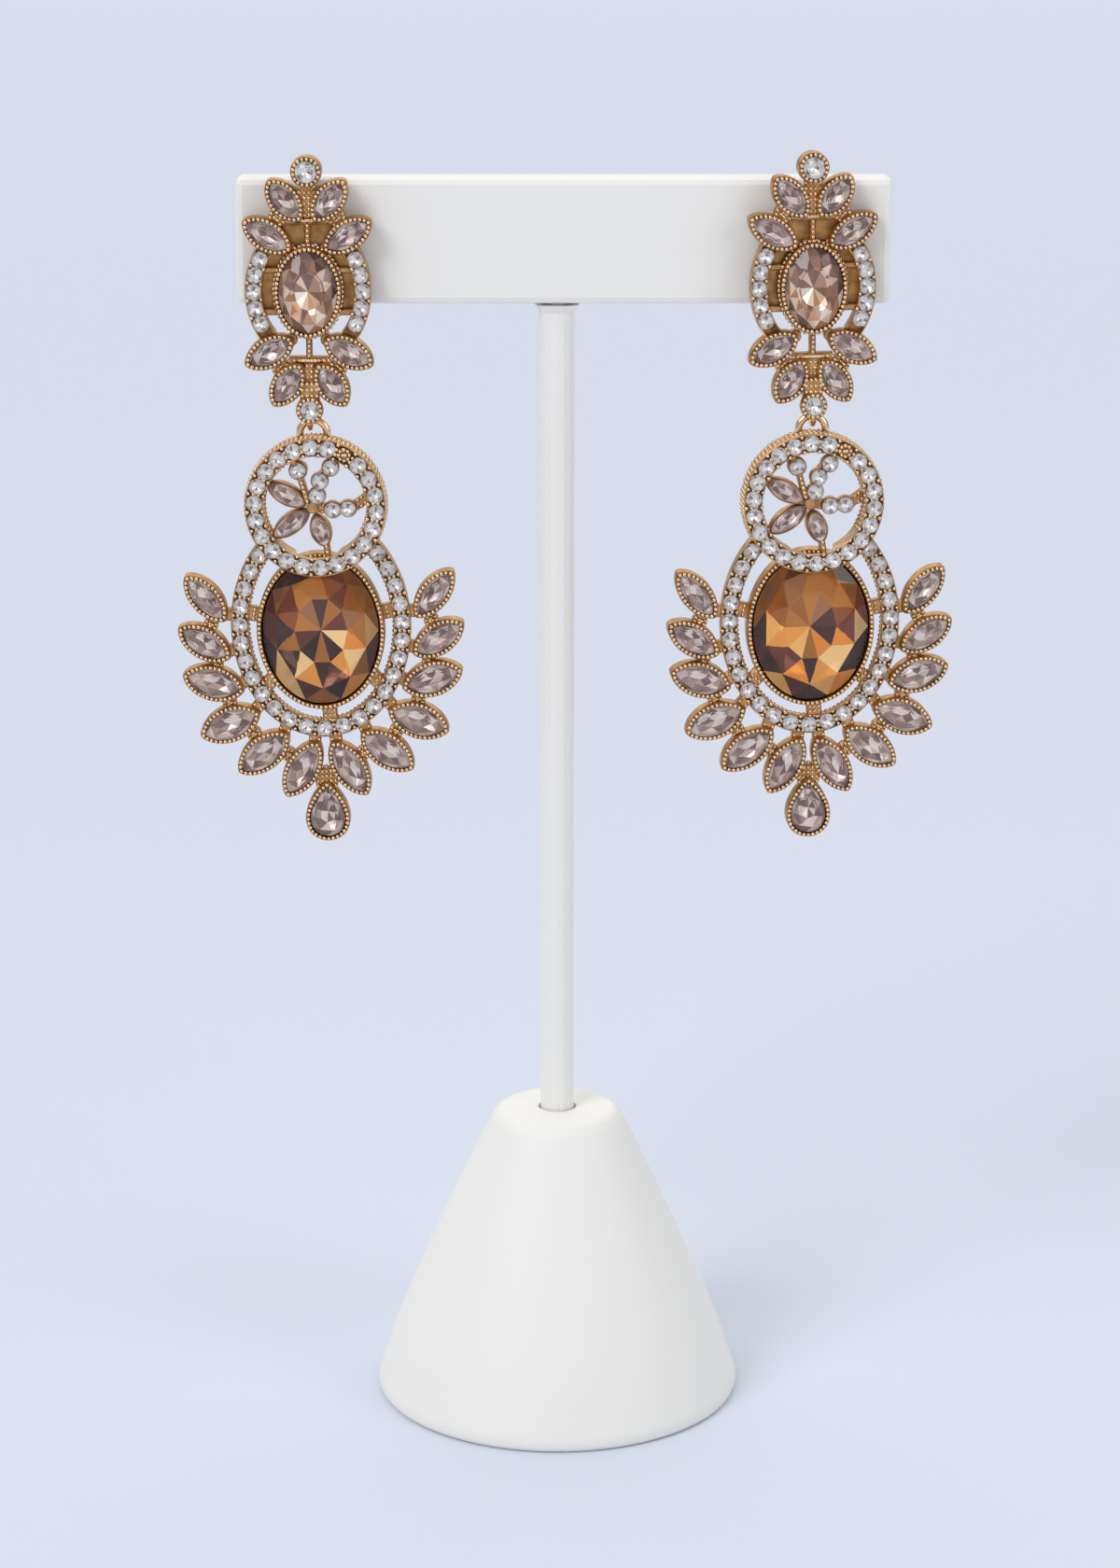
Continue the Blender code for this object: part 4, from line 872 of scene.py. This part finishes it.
claws_between([on_circle(math.cos(a), math.sin(a)) for a in angles], CIRCLE_RIM, 0.9 * MM)
for number, angle in enumerate(angles[:-1]):
    u, v = on_circle(math.cos(angle), math.sin(angle))
    if number == EMPTY_SEAT:
        seat = disc_at(0.9 * MM, u, v, 20)
        drop.stack(plate_rows(seat, CIRCLE_RIM - 0.1 * MM, CIRCLE_RIM - 0.8 * MM))
        bead_row(seat(0.25 * MM), CIRCLE_RIM)
        bead_row(seat(0.75 * MM), CIRCLE_RIM + 0.1 * MM)
    else:
        set_along([(u, v)], CIRCLE_RIM)

PETALS = [
    # root across, root up, tip across, tip up
    (-0.15, 0.02, -0.778, 0.39),
    (-0.1, -0.06, -0.714, -0.495),
    (-0.02, -0.135, 0.163, -0.68),
]
HOOKS = [
    [(0.36, 0.788), (0.265, 0.64), (0.085, 0.44), (0.03, 0.197), (-0.05, -0.014)],
    [(-0.05, -0.014), (0.279, -0.056), (0.62, -0.02), (0.856, 0.13)],
]
HOOK_STONES = [(0.265, 0.64), (0.085, 0.425), (0.03, 0.18), (0.279, -0.054), (0.53, -0.041)]
STALKS = [
    # from across, from up, to across, to up
    (-0.31, 0.7, -0.36, 0.79),
    (-0.235, 0.49, -0.13, 0.1),
    (0.156, -0.66, 0.18, -0.845),
]
for hook in HOOKS:
    route = smooth_route([on_circle(*p) for p in hook])
    rib(drop, route, 0.6 * MM, FLOWER_RIM - 0.75 * MM, (0.42 * MM, -0.42 * MM), FLOWER_BACK)
for place in HOOK_STONES:
    round_cup(drop, *on_circle(*place), 1.1 * MM, 0.98 * MM, FLOWER_RIM, FLOWER_BACK + 0.8 * MM, False)
for u0, v0, u1, v1 in STALKS:
    rib(drop, [on_circle(u0, v0), on_circle(u1, v1)], 0.35 * MM, FLOWER_RIM, [0.0], FLOWER_BACK)
drop.stack(plate_rows(disc_at(0.7 * MM, *on_circle(-0.05, -0.014), 20), FLOWER_RIM, FLOWER_BACK))
round_cup(drop, *on_circle(-0.265, 0.6), 1.14 * MM, 0.98 * MM, FLOWER_RIM, FLOWER_BACK, False)
petals = []
for u0, v0, u1, v1 in PETALS:
    root, tip = Vector(on_circle(u0, v0)), Vector(on_circle(u1, v1))
    along = tip - root
    turn = math.degrees(math.atan2(along.y, along.x))
    u, v = (root + tip) / 2
    outline_at = marquise_at(along.length, 2.55 * MM, u, v, turn, 40)
    drop.stack(cup_rows(outline_at, FLOWER_RIM, FLOWER_RIM - 1.0 * MM, 0.25 * MM, FLOWER_BACK))
    petals.append((u, v, turn, along.length - 0.45 * MM, 2.2 * MM))
print("flower:", len(petals), "petals,", len(HOOK_STONES), "hook stones")

# %% The bail
arch = []
for angle in np.linspace(math.pi, 0.0, 25):
    lift = HINGE_UP + BAIL_RADIUS * (math.sin(angle) - 1)
    arch.append((BAIL_RADIUS * math.cos(angle), -DROP_BALANCE, lift))
foot = CIRCLE_UP + CIRCLE
arch = [(-BAIL_RADIUS, -DROP_BALANCE, foot)] + arch + [(BAIL_RADIUS, -DROP_BALANCE, foot)]
drop.wire(arch, [BAIL_WIRE] * len(arch))
drop_frame = drop.mesh("drop_frame_local")
drop_beads, drop_crystals = bead_rows, crystals
print("drop:", len(drop_beads), "rows of beads,", len(drop_crystals), "crystals")

# %% [markdown]
# Milgrain is a row of tiny beads along an edge of the metal, here 0.57 mm apart. It repeats thousands of
# times, so Geometry Nodes make it. The tree turns each row into a curve, spaces points along it by length,
# and puts a bead on each. Each bead is rubbed bright at its top and darkened towards its foot, partly patina
# and partly painted shade where it meets the metal.

# %% Make a tree, run it and keep its mesh


def new_tree(name, sockets):
    """A tree that turns one mesh into another, with its inputs and their identifiers by name."""
    tree = bpy.data.node_groups.new(name, "GeometryNodeTree")
    add_socket = tree.interface.new_socket
    add_socket("Source", in_out="INPUT", socket_type="NodeSocketGeometry")
    keys = {}
    for label, kind in sockets.items():
        keys[label] = add_socket(label, in_out="INPUT", socket_type="NodeSocket" + kind).identifier
    add_socket("Result", in_out="OUTPUT", socket_type="NodeSocketGeometry")
    return tree, add_node(tree, "NodeGroupInput").outputs, keys


def run_tree(name, source, tree, keys, values):
    """The mesh that a node tree makes from a source mesh."""
    holder = bpy.data.objects.new(name + "_source", source)
    scene.collection.objects.link(holder)
    modifier = holder.modifiers.new("nodes", "NODES")
    modifier.node_group = tree
    for label, value in values.items():
        modifier[keys[label]] = value
    graph = bpy.context.evaluated_depsgraph_get()
    made = bpy.data.meshes.new_from_object(holder.evaluated_get(graph))
    bpy.data.objects.remove(holder, do_unlink=True)
    made.name = name
    return made


print("ready to run node trees")

# %% A tree for rows of beads
tree, given, bead_keys = new_tree(
    "milgrain_rows",
    {"Pitch": "Float", "Bead radius": "Float", "Seed": "Int", "Finish": "Material"},
)
curve = add_node(tree, "GeometryNodeMeshToCurve", {"Mesh": given["Source"]})
steps = {"Curve": curve, "Length": given["Pitch"]}
spaced = add_node(tree, "GeometryNodeResampleCurve", steps, mode="LENGTH")
sphere = {"Segments": 7, "Rings": 4, "Radius": given["Bead radius"]}
ball = add_node(tree, "GeometryNodeMeshUVSphere", sphere)
spot = add_node(tree, "GeometryNodeInputPosition")
height = add_node(tree, "ShaderNodeSeparateXYZ", {"Vector": spot}).outputs["Y"]
share = add_node(tree, "ShaderNodeMath", {0: height, 1: given["Bead radius"]}, operation="DIVIDE")
# Painted shade and patina: each bead darkens towards its foot and is brightest on its front.
ends = {"Value": share, "From Min": -0.6, "From Max": 0.1, "To Min": -0.15, "To Max": 0.95}
bead_shade_and_patina = add_node(tree, "ShaderNodeMapRange", ends)
smooth = add_node(tree, "GeometryNodeSetShadeSmooth", {"Geometry": ball})
written = {"Geometry": smooth, "Name": "tarnish", "Value": bead_shade_and_patina}
marked = add_node(tree, "GeometryNodeStoreNamedAttribute", written, data_type="FLOAT", domain="POINT")
sizes = {2: 0.88, 3: 1.08, "Seed": given["Seed"]}
size = add_node(tree, "FunctionNodeRandomValue", sizes, data_type="FLOAT")
instances = {"Points": spaced, "Instance": marked, "Scale": size.outputs[1]}
placed = add_node(tree, "GeometryNodeInstanceOnPoints", instances)
real = add_node(tree, "GeometryNodeRealizeInstances", {"Geometry": placed})
coated = add_node(tree, "GeometryNodeSetMaterial", {"Geometry": real, "Material": given["Finish"]})
add_node(tree, "NodeGroupOutput", {"Result": coated})
bead_tree = tree
print("built", bead_tree.name, "with", len(bead_tree.nodes), "nodes")

# %% The beads


def bead_mesh(name, rows):
    points, edges = [], []
    for row, closed in rows:
        first, count = len(points), len(row)
        points += row
        edges += [(first + i, first + (i + 1) % count) for i in range(count if closed else count - 1)]
    source = bpy.data.meshes.new(name + "_rows")
    source.from_pydata(points, edges, [])
    values = {"Pitch": PITCH, "Bead radius": BEAD, "Seed": 7, "Finish": antique_gold}
    return run_tree(name, source, bead_tree, bead_keys, values)


stud_milgrain = bead_mesh("stud_milgrain", stud_beads)
drop_milgrain = bead_mesh("drop_milgrain", drop_beads)
print("milgrain faces:", len(stud_milgrain.polygons), "and", len(drop_milgrain.polygons))

# %% [markdown]
# The small round crystals are one stone in different sizes, so Geometry Nodes put a copy of it at every
# seat. A seat is a point that carries the stone's radius. Every copy gets a small seeded turn and tilt,
# because no two stones are set alike, and that makes a row sparkle.

# %% The crystals
crystal_cut = (lambda n: ellipse(1.0, 1.0, n), 8, 0.44, 0.62, Matrix.Identity(4))
crystal_mesh = stone_mesh("crystal_cut", [crystal_cut], "crystal", girdle=0.06)
is_foil = crystal_mesh.attributes.new("is_foil", "BOOLEAN", "FACE")
is_foil.data.foreach_set("value", [f.material_index == 1 for f in crystal_mesh.polygons])
crystal_object = bpy.data.objects.new("crystal_cut", crystal_mesh)
scene.collection.objects.link(crystal_object)

tree, given, seat_keys = new_tree(
    "crystals_in_seats",
    {"Stone": "Object", "Tilt": "Float", "Seed": "Int", "Glass": "Material", "Foil": "Material"},
)
stone = add_node(tree, "GeometryNodeObjectInfo", {"Object": given["Stone"]}).outputs["Geometry"]
radius = add_node(tree, "GeometryNodeInputNamedAttribute", {"Name": "stone_radius"}, data_type="FLOAT")
back = add_node(tree, "ShaderNodeMath", {0: given["Tilt"], 1: -1.0}, operation="MULTIPLY")
low_turn = add_node(tree, "ShaderNodeCombineXYZ", {"X": back, "Y": 0.0, "Z": back})
high_turn = add_node(tree, "ShaderNodeCombineXYZ", {"X": given["Tilt"], "Y": 6.28, "Z": given["Tilt"]})
turns = {0: low_turn, 1: high_turn, "Seed": given["Seed"]}
turned = add_node(tree, "FunctionNodeRandomValue", turns, data_type="FLOAT_VECTOR")
instances = {"Points": given["Source"], "Instance": stone, "Rotation": turned, "Scale": radius}
placed = add_node(tree, "GeometryNodeInstanceOnPoints", instances)
real = add_node(tree, "GeometryNodeRealizeInstances", {"Geometry": placed})
backed = add_node(tree, "GeometryNodeInputNamedAttribute", {"Name": "is_foil"}, data_type="BOOLEAN")
glazed = add_node(tree, "GeometryNodeSetMaterial", {"Geometry": real, "Material": given["Glass"]})
foiled = {"Geometry": glazed, "Selection": backed, "Material": given["Foil"]}
silvered = add_node(tree, "GeometryNodeSetMaterial", foiled)
add_node(tree, "NodeGroupOutput", {"Result": silvered})
seat_tree = tree


def crystal_stones(name, seats):
    source = bpy.data.meshes.new(name + "_seats")
    source.from_pydata([seat[:3] for seat in seats], [], [])
    sizes = source.attributes.new("stone_radius", "FLOAT", "POINT")
    sizes.data.foreach_set("value", [seat[3] for seat in seats])
    crown, foil_back = STONES["crystal"]
    values = {"Stone": crystal_object, "Tilt": 0.07, "Seed": 11, "Glass": crown, "Foil": foil_back}
    return run_tree(name, source, seat_tree, seat_keys, values)


stud_sparkle = crystal_stones("stud_crystals", stud_crystals)
drop_sparkle = crystal_stones("drop_crystals", drop_crystals)
bpy.data.objects.remove(crystal_object, do_unlink=True)
print("crystal faces:", len(stud_sparkle.polygons), "and", len(drop_sparkle.polygons))

# %% [markdown]
# The larger stones are cut in the place of their CAD solids. A stone's outline is its cup's hollow less the
# gap, and its girdle lies a little below the rim.

# %% The oval, leaf and pear stones


def set_stone(u, v, depth, turn=0.0):
    """The place of a stone in its piece's frame."""
    return Matrix.Translation((u, -depth, v)) @ Matrix.Rotation(-math.radians(turn), 4, "Y")


def gem_cut(shape, size, mains, crown, pavilion, *place):
    """The arguments of cut_stone for a stone of a shape and size."""
    return lambda n: shape(*size, n), mains, crown * MM, pavilion * MM, set_stone(*place)


def leaf_cut(u, v, turn, length, width, rim):
    size = (length - 2.6 * CUP_WALL - 0.5 * STONE_GAP, width - 2 * CUP_WALL - 0.5 * STONE_GAP)
    return gem_cut(marquise, size, 6, 0.75, 0.9, u, v, rim - GIRDLE_DEPTH, turn)


def petal_cut(u, v, turn, length, width):
    return gem_cut(marquise, (length, width), 5, 0.42, 0.7, u, v, FLOWER_RIM - 0.05 * MM, turn)


def pear_girdle(length, width, sides):
    return pear(length, width, sides)[::-1]


GIRDLE_DEPTH = 0.25 * MM
pear_size = (PEAR[0] - 2.6 * CUP_WALL - 2 * STONE_GAP, PEAR[1] - 2 * CUP_WALL - 2 * STONE_GAP)
pear_place = (0, PEAR[2] - 0.3 * CUP_WALL, LEAF_RIM - GIRDLE_DEPTH)
oval_cut = gem_cut(ellipse, OVAL_HALF, 12, 1.1, 1.6, 0, 0, OVAL_RIM - GIRDLE_DEPTH)
main_cut = gem_cut(ellipse, MAIN_HALF, 10, 1.3, 1.65, 0, MAIN_UP, MAIN_RIM - GIRDLE_DEPTH)
GEMS = {
    # kind, seed, cuts
    "stud_oval_gem": ("champagne", 1, [oval_cut]),
    "stud_leaf_gems": ("smoky", 1, [leaf_cut(*leaf, STUD_RIM) for leaf in stud_leaves]),
    "left_main_gem": ("topaz", 1, [main_cut]),
    "right_main_gem": ("topaz", 2, [main_cut]),
    "drop_leaf_gems": ("smoky", 1, [leaf_cut(*leaf, LEAF_RIM) for leaf in right_leaves + left_leaves]),
    "pear_gem": ("smoky", 1, [gem_cut(pear_girdle, pear_size, 8, 0.75, 0.9, *pear_place)]),
    "petal_gems": ("smoky", 1, [petal_cut(*petal) for petal in petals]),
}
gems = {name: stone_mesh(name, cuts, kind, seed) for name, (kind, seed, cuts) in GEMS.items()}
print("stones:", len(gems), "meshes")

# %% [markdown]
# Now both earrings are set out. The stud stands off the bar and leans a little on the right, and the drop
# hangs from its hinge with its own small lean. Each piece rides on its body and replaces its CAD nodes.

# %% Set out the earrings
EARRINGS = [
    # side, across, height, stud lean, turn, drop lean, slide of the bail
    ("left", -29.55 * MM, 141.8 * MM, 0.0, 0.0, 1.2, 0.3 * MM),
    ("right", 30.25 * MM, 142.3 * MM, 0.9, 4.5, 0.4, 0.0),
]
STUD_FRONT = -3.55 * MM


def tilted(turn, lean):
    return Matrix.Rotation(math.radians(turn), 4, "Z") @ Matrix.Rotation(-math.radians(lean), 4, "Y")


def add_piece(name, mesh, place, body, replaced=()):
    """A copy of a mesh in its place, riding on a body."""
    mesh = mesh.copy()
    mesh.transform(place)
    mesh.name = name
    piece = bpy.data.objects.new(name, mesh)
    scene.collection.objects.link(piece)
    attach(piece, body)
    if replaced:
        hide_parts(*replaced)
    return piece


for side, across, height, lean, turn, drop_lean, slide in EARRINGS:
    stud_place = Matrix.Translation((across, STUD_FRONT, height)) @ tilted(turn, lean)
    hinge = stud_place @ Vector((slide, -HINGE_DEPTH, -HINGE_DROP))
    drop_place = Matrix.Translation(hinge) @ tilted(turn, drop_lean)
    drop_place = drop_place @ Matrix.Translation((0.0, DROP_BALANCE, -HINGE_UP))
    pieces = [
        # name, mesh, slot, replaced nodes
        ("stud_metal", stud_frame, "gold_plate", ["stud_frame"]),
        ("stud_milgrain", stud_milgrain, "gold_plate", []),
        ("stud_crystals", stud_sparkle, "smoky_glass", []),
        ("stud_oval_gem", gems["stud_oval_gem"], "champagne_glass", ["stud_oval"]),
        ("stud_leaf_gems", gems["stud_leaf_gems"], "smoky_glass", [f"stud_leaf_{n}" for n in range(1, 9)]),
        ("drop_metal", drop_frame, "gold_plate", ["drop_frame"]),
        ("drop_milgrain", drop_milgrain, "gold_plate", []),
        ("drop_crystals", drop_sparkle, "smoky_glass", []),
        ("petal_gems", gems["petal_gems"], "smoky_glass", []),
        ("main_gem", gems[side + "_main_gem"], "topaz_glass", ["main_stone"]),
        ("drop_leaf_gems", gems["drop_leaf_gems"], "smoky_glass", [f"drop_leaf_{n}" for n in range(1, 13)]),
        ("pear_gem", gems["pear_gem"], "smoky_glass", ["pear_stone"]),
    ]
    for name, mesh, slot, nodes in pieces:
        on_stud = name.startswith("stud")
        place, body = (stud_place, "display") if on_stud else (drop_place, side + "_drop")
        add_piece(f"{side}_{name}", mesh, place, body, [f"{side}_{node}" for node in nodes])
print("set out two earrings")

# %% [markdown]
# The stand's base is a turned cone with a soft waist. A smoother one takes the CAD's place, with the same
# profile and more points along its curve. The bar and the stem only take the ivory cover.

# %% The stand
BASE_RADIUS = 23.1 * MM
BASE_HEIGHT = 37.4 * MM
SOCKET = (2.4 * MM, 12.0 * MM)
CONE_CREASE = 50.0
CONE_STEPS = 96
BASE_PROFILE = [(0.022, 1.0), (0.26, 0.868), (0.607, 0.63), (0.925, 0.393), (0.985, 0.335)]
side_curve = smooth_route([(r * BASE_RADIUS, h * BASE_HEIGHT) for h, r in BASE_PROFILE])
profile = [(0.0, 0.0), (0.972 * BASE_RADIUS, 0.0), (0.99 * BASE_RADIUS, 0.25 * MM)] + side_curve
profile += [(0.31 * BASE_RADIUS, 0.997 * BASE_HEIGHT), (0.28 * BASE_RADIUS, BASE_HEIGHT)]
profile += [(SOCKET[0], BASE_HEIGHT), (SOCKET[0], BASE_HEIGHT - SOCKET[1]), (0.0, BASE_HEIGHT - SOCKET[1])]


def turned_piece(name, profile):
    """A solid turned about Z from (radius, height) points that start and end on its axis."""
    bm = bmesh.new()
    verts = [bm.verts.new((radius, 0.0, height)) for radius, height in profile]
    edges = [bm.edges.new(pair) for pair in zip(verts, verts[1:])]
    spin = {"cent": (0, 0, 0), "axis": (0, 0, 1), "angle": 2 * math.pi, "steps": CONE_STEPS}
    bmesh.ops.spin(bm, geom=verts + edges, use_merge=False, **spin)
    bmesh.ops.remove_doubles(bm, verts=bm.verts, dist=1e-7)
    return finished_mesh(bm, name, [ivory], CONE_CREASE)


cone = turned_piece("stand_cone", profile)
add_piece("stand_cone", cone, Matrix.Identity(4), "display", ["stand_base"])
for name in ("stand_stem", "stand_bar"):
    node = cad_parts[name]
    node.data.materials.clear()
    node.data.materials.append(ivory)
print("dressed the stand")

# %% [markdown]
# The jewels stand on a wide sheet of pale paper under a plain pale sky. A very large soft light hangs over
# them, two small ones stand before them on either side, and a low broad sun from the front left gives the
# base its shadow. The stones get bright shapes to reflect, and dimmer space between them.

# %% Floor, sky and lights
paper, tree, shader = new_material("pale_blue_paper")
feed(tree, shader, {"Base Color": linear("#D8DDE9"), "Roughness": 1.0, "Specular IOR Level": 0.0})
FLOOR_HALF = 8.0
floor_mesh = bpy.data.meshes.new("paper_floor")
corners = [(x * FLOOR_HALF, y * FLOOR_HALF, 0.0) for x, y in ((-1, -1), (1, -1), (1, 1), (-1, 1))]
floor_mesh.from_pydata(corners, [], [(0, 1, 2, 3)])
floor_mesh.materials.append(paper)
floor = bpy.data.objects.new("paper_floor", floor_mesh)
scene.collection.objects.link(floor)
floor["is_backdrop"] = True

world = bpy.data.worlds.new("pale_sky")
scene.world = world
world.use_nodes = True
sky = world.node_tree.nodes["Background"]
feed(world.node_tree, sky, {"Color": linear("#F4F6FA"), "Strength": 0.42})


def soft_light(name, place, size, power):
    """A square light that faces the jewels."""
    light = bpy.data.lights.new(name, "AREA")
    light.size = size
    light.energy = power
    made = bpy.data.objects.new(name, light)
    made.location = place
    made.rotation_euler = (JEWELS - Vector(place)).to_track_quat("-Z", "Y").to_euler()
    scene.collection.objects.link(made)


JEWELS = Vector((0.0, 0.0, 0.12))
soft_light("key_softbox", (-0.45, -0.5, 0.65), 0.4, 1.15)
soft_light("fill_softbox", (0.6, -0.45, 0.4), 0.4, 1.1)
soft_light("ceiling_softbox", (0.0, 1.6, 3.0), 8.0, 140.0)
day = bpy.data.lights.new("window_light", "SUN")
day.energy = 0.7
day.angle = math.radians(28)
window = bpy.data.objects.new("window_light", day)
window.rotation_euler = Vector((0.45, 0.5, -0.53)).to_track_quat("-Z", "Y").to_euler()
scene.collection.objects.link(window)
print("lit the scene with 3 softboxes and a window's light")

# %% Camera
SENSOR = 36.0
CAMERA_DIP = 15.5
camera_data = bpy.data.cameras.new("photo_camera")
camera_data.sensor_fit = "VERTICAL"
camera_data.sensor_height = SENSOR
camera_data.sensor_width = SENSOR * 1200 / 1680
camera_data.lens = 90.21
camera_data.clip_start = 0.01
camera_data.clip_end = 10.0
camera = bpy.data.objects.new("photo_camera", camera_data)
camera.location = (0.00035, -0.470, 0.2101)
camera.rotation_euler = (math.radians(90 - CAMERA_DIP), 0.0, 0.0)
scene.collection.objects.link(camera)
scene.camera = camera
scene.view_settings.view_transform = "Standard"

# %% Sizes and the end
sizes = {"cad": cad_box, "visual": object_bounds()}
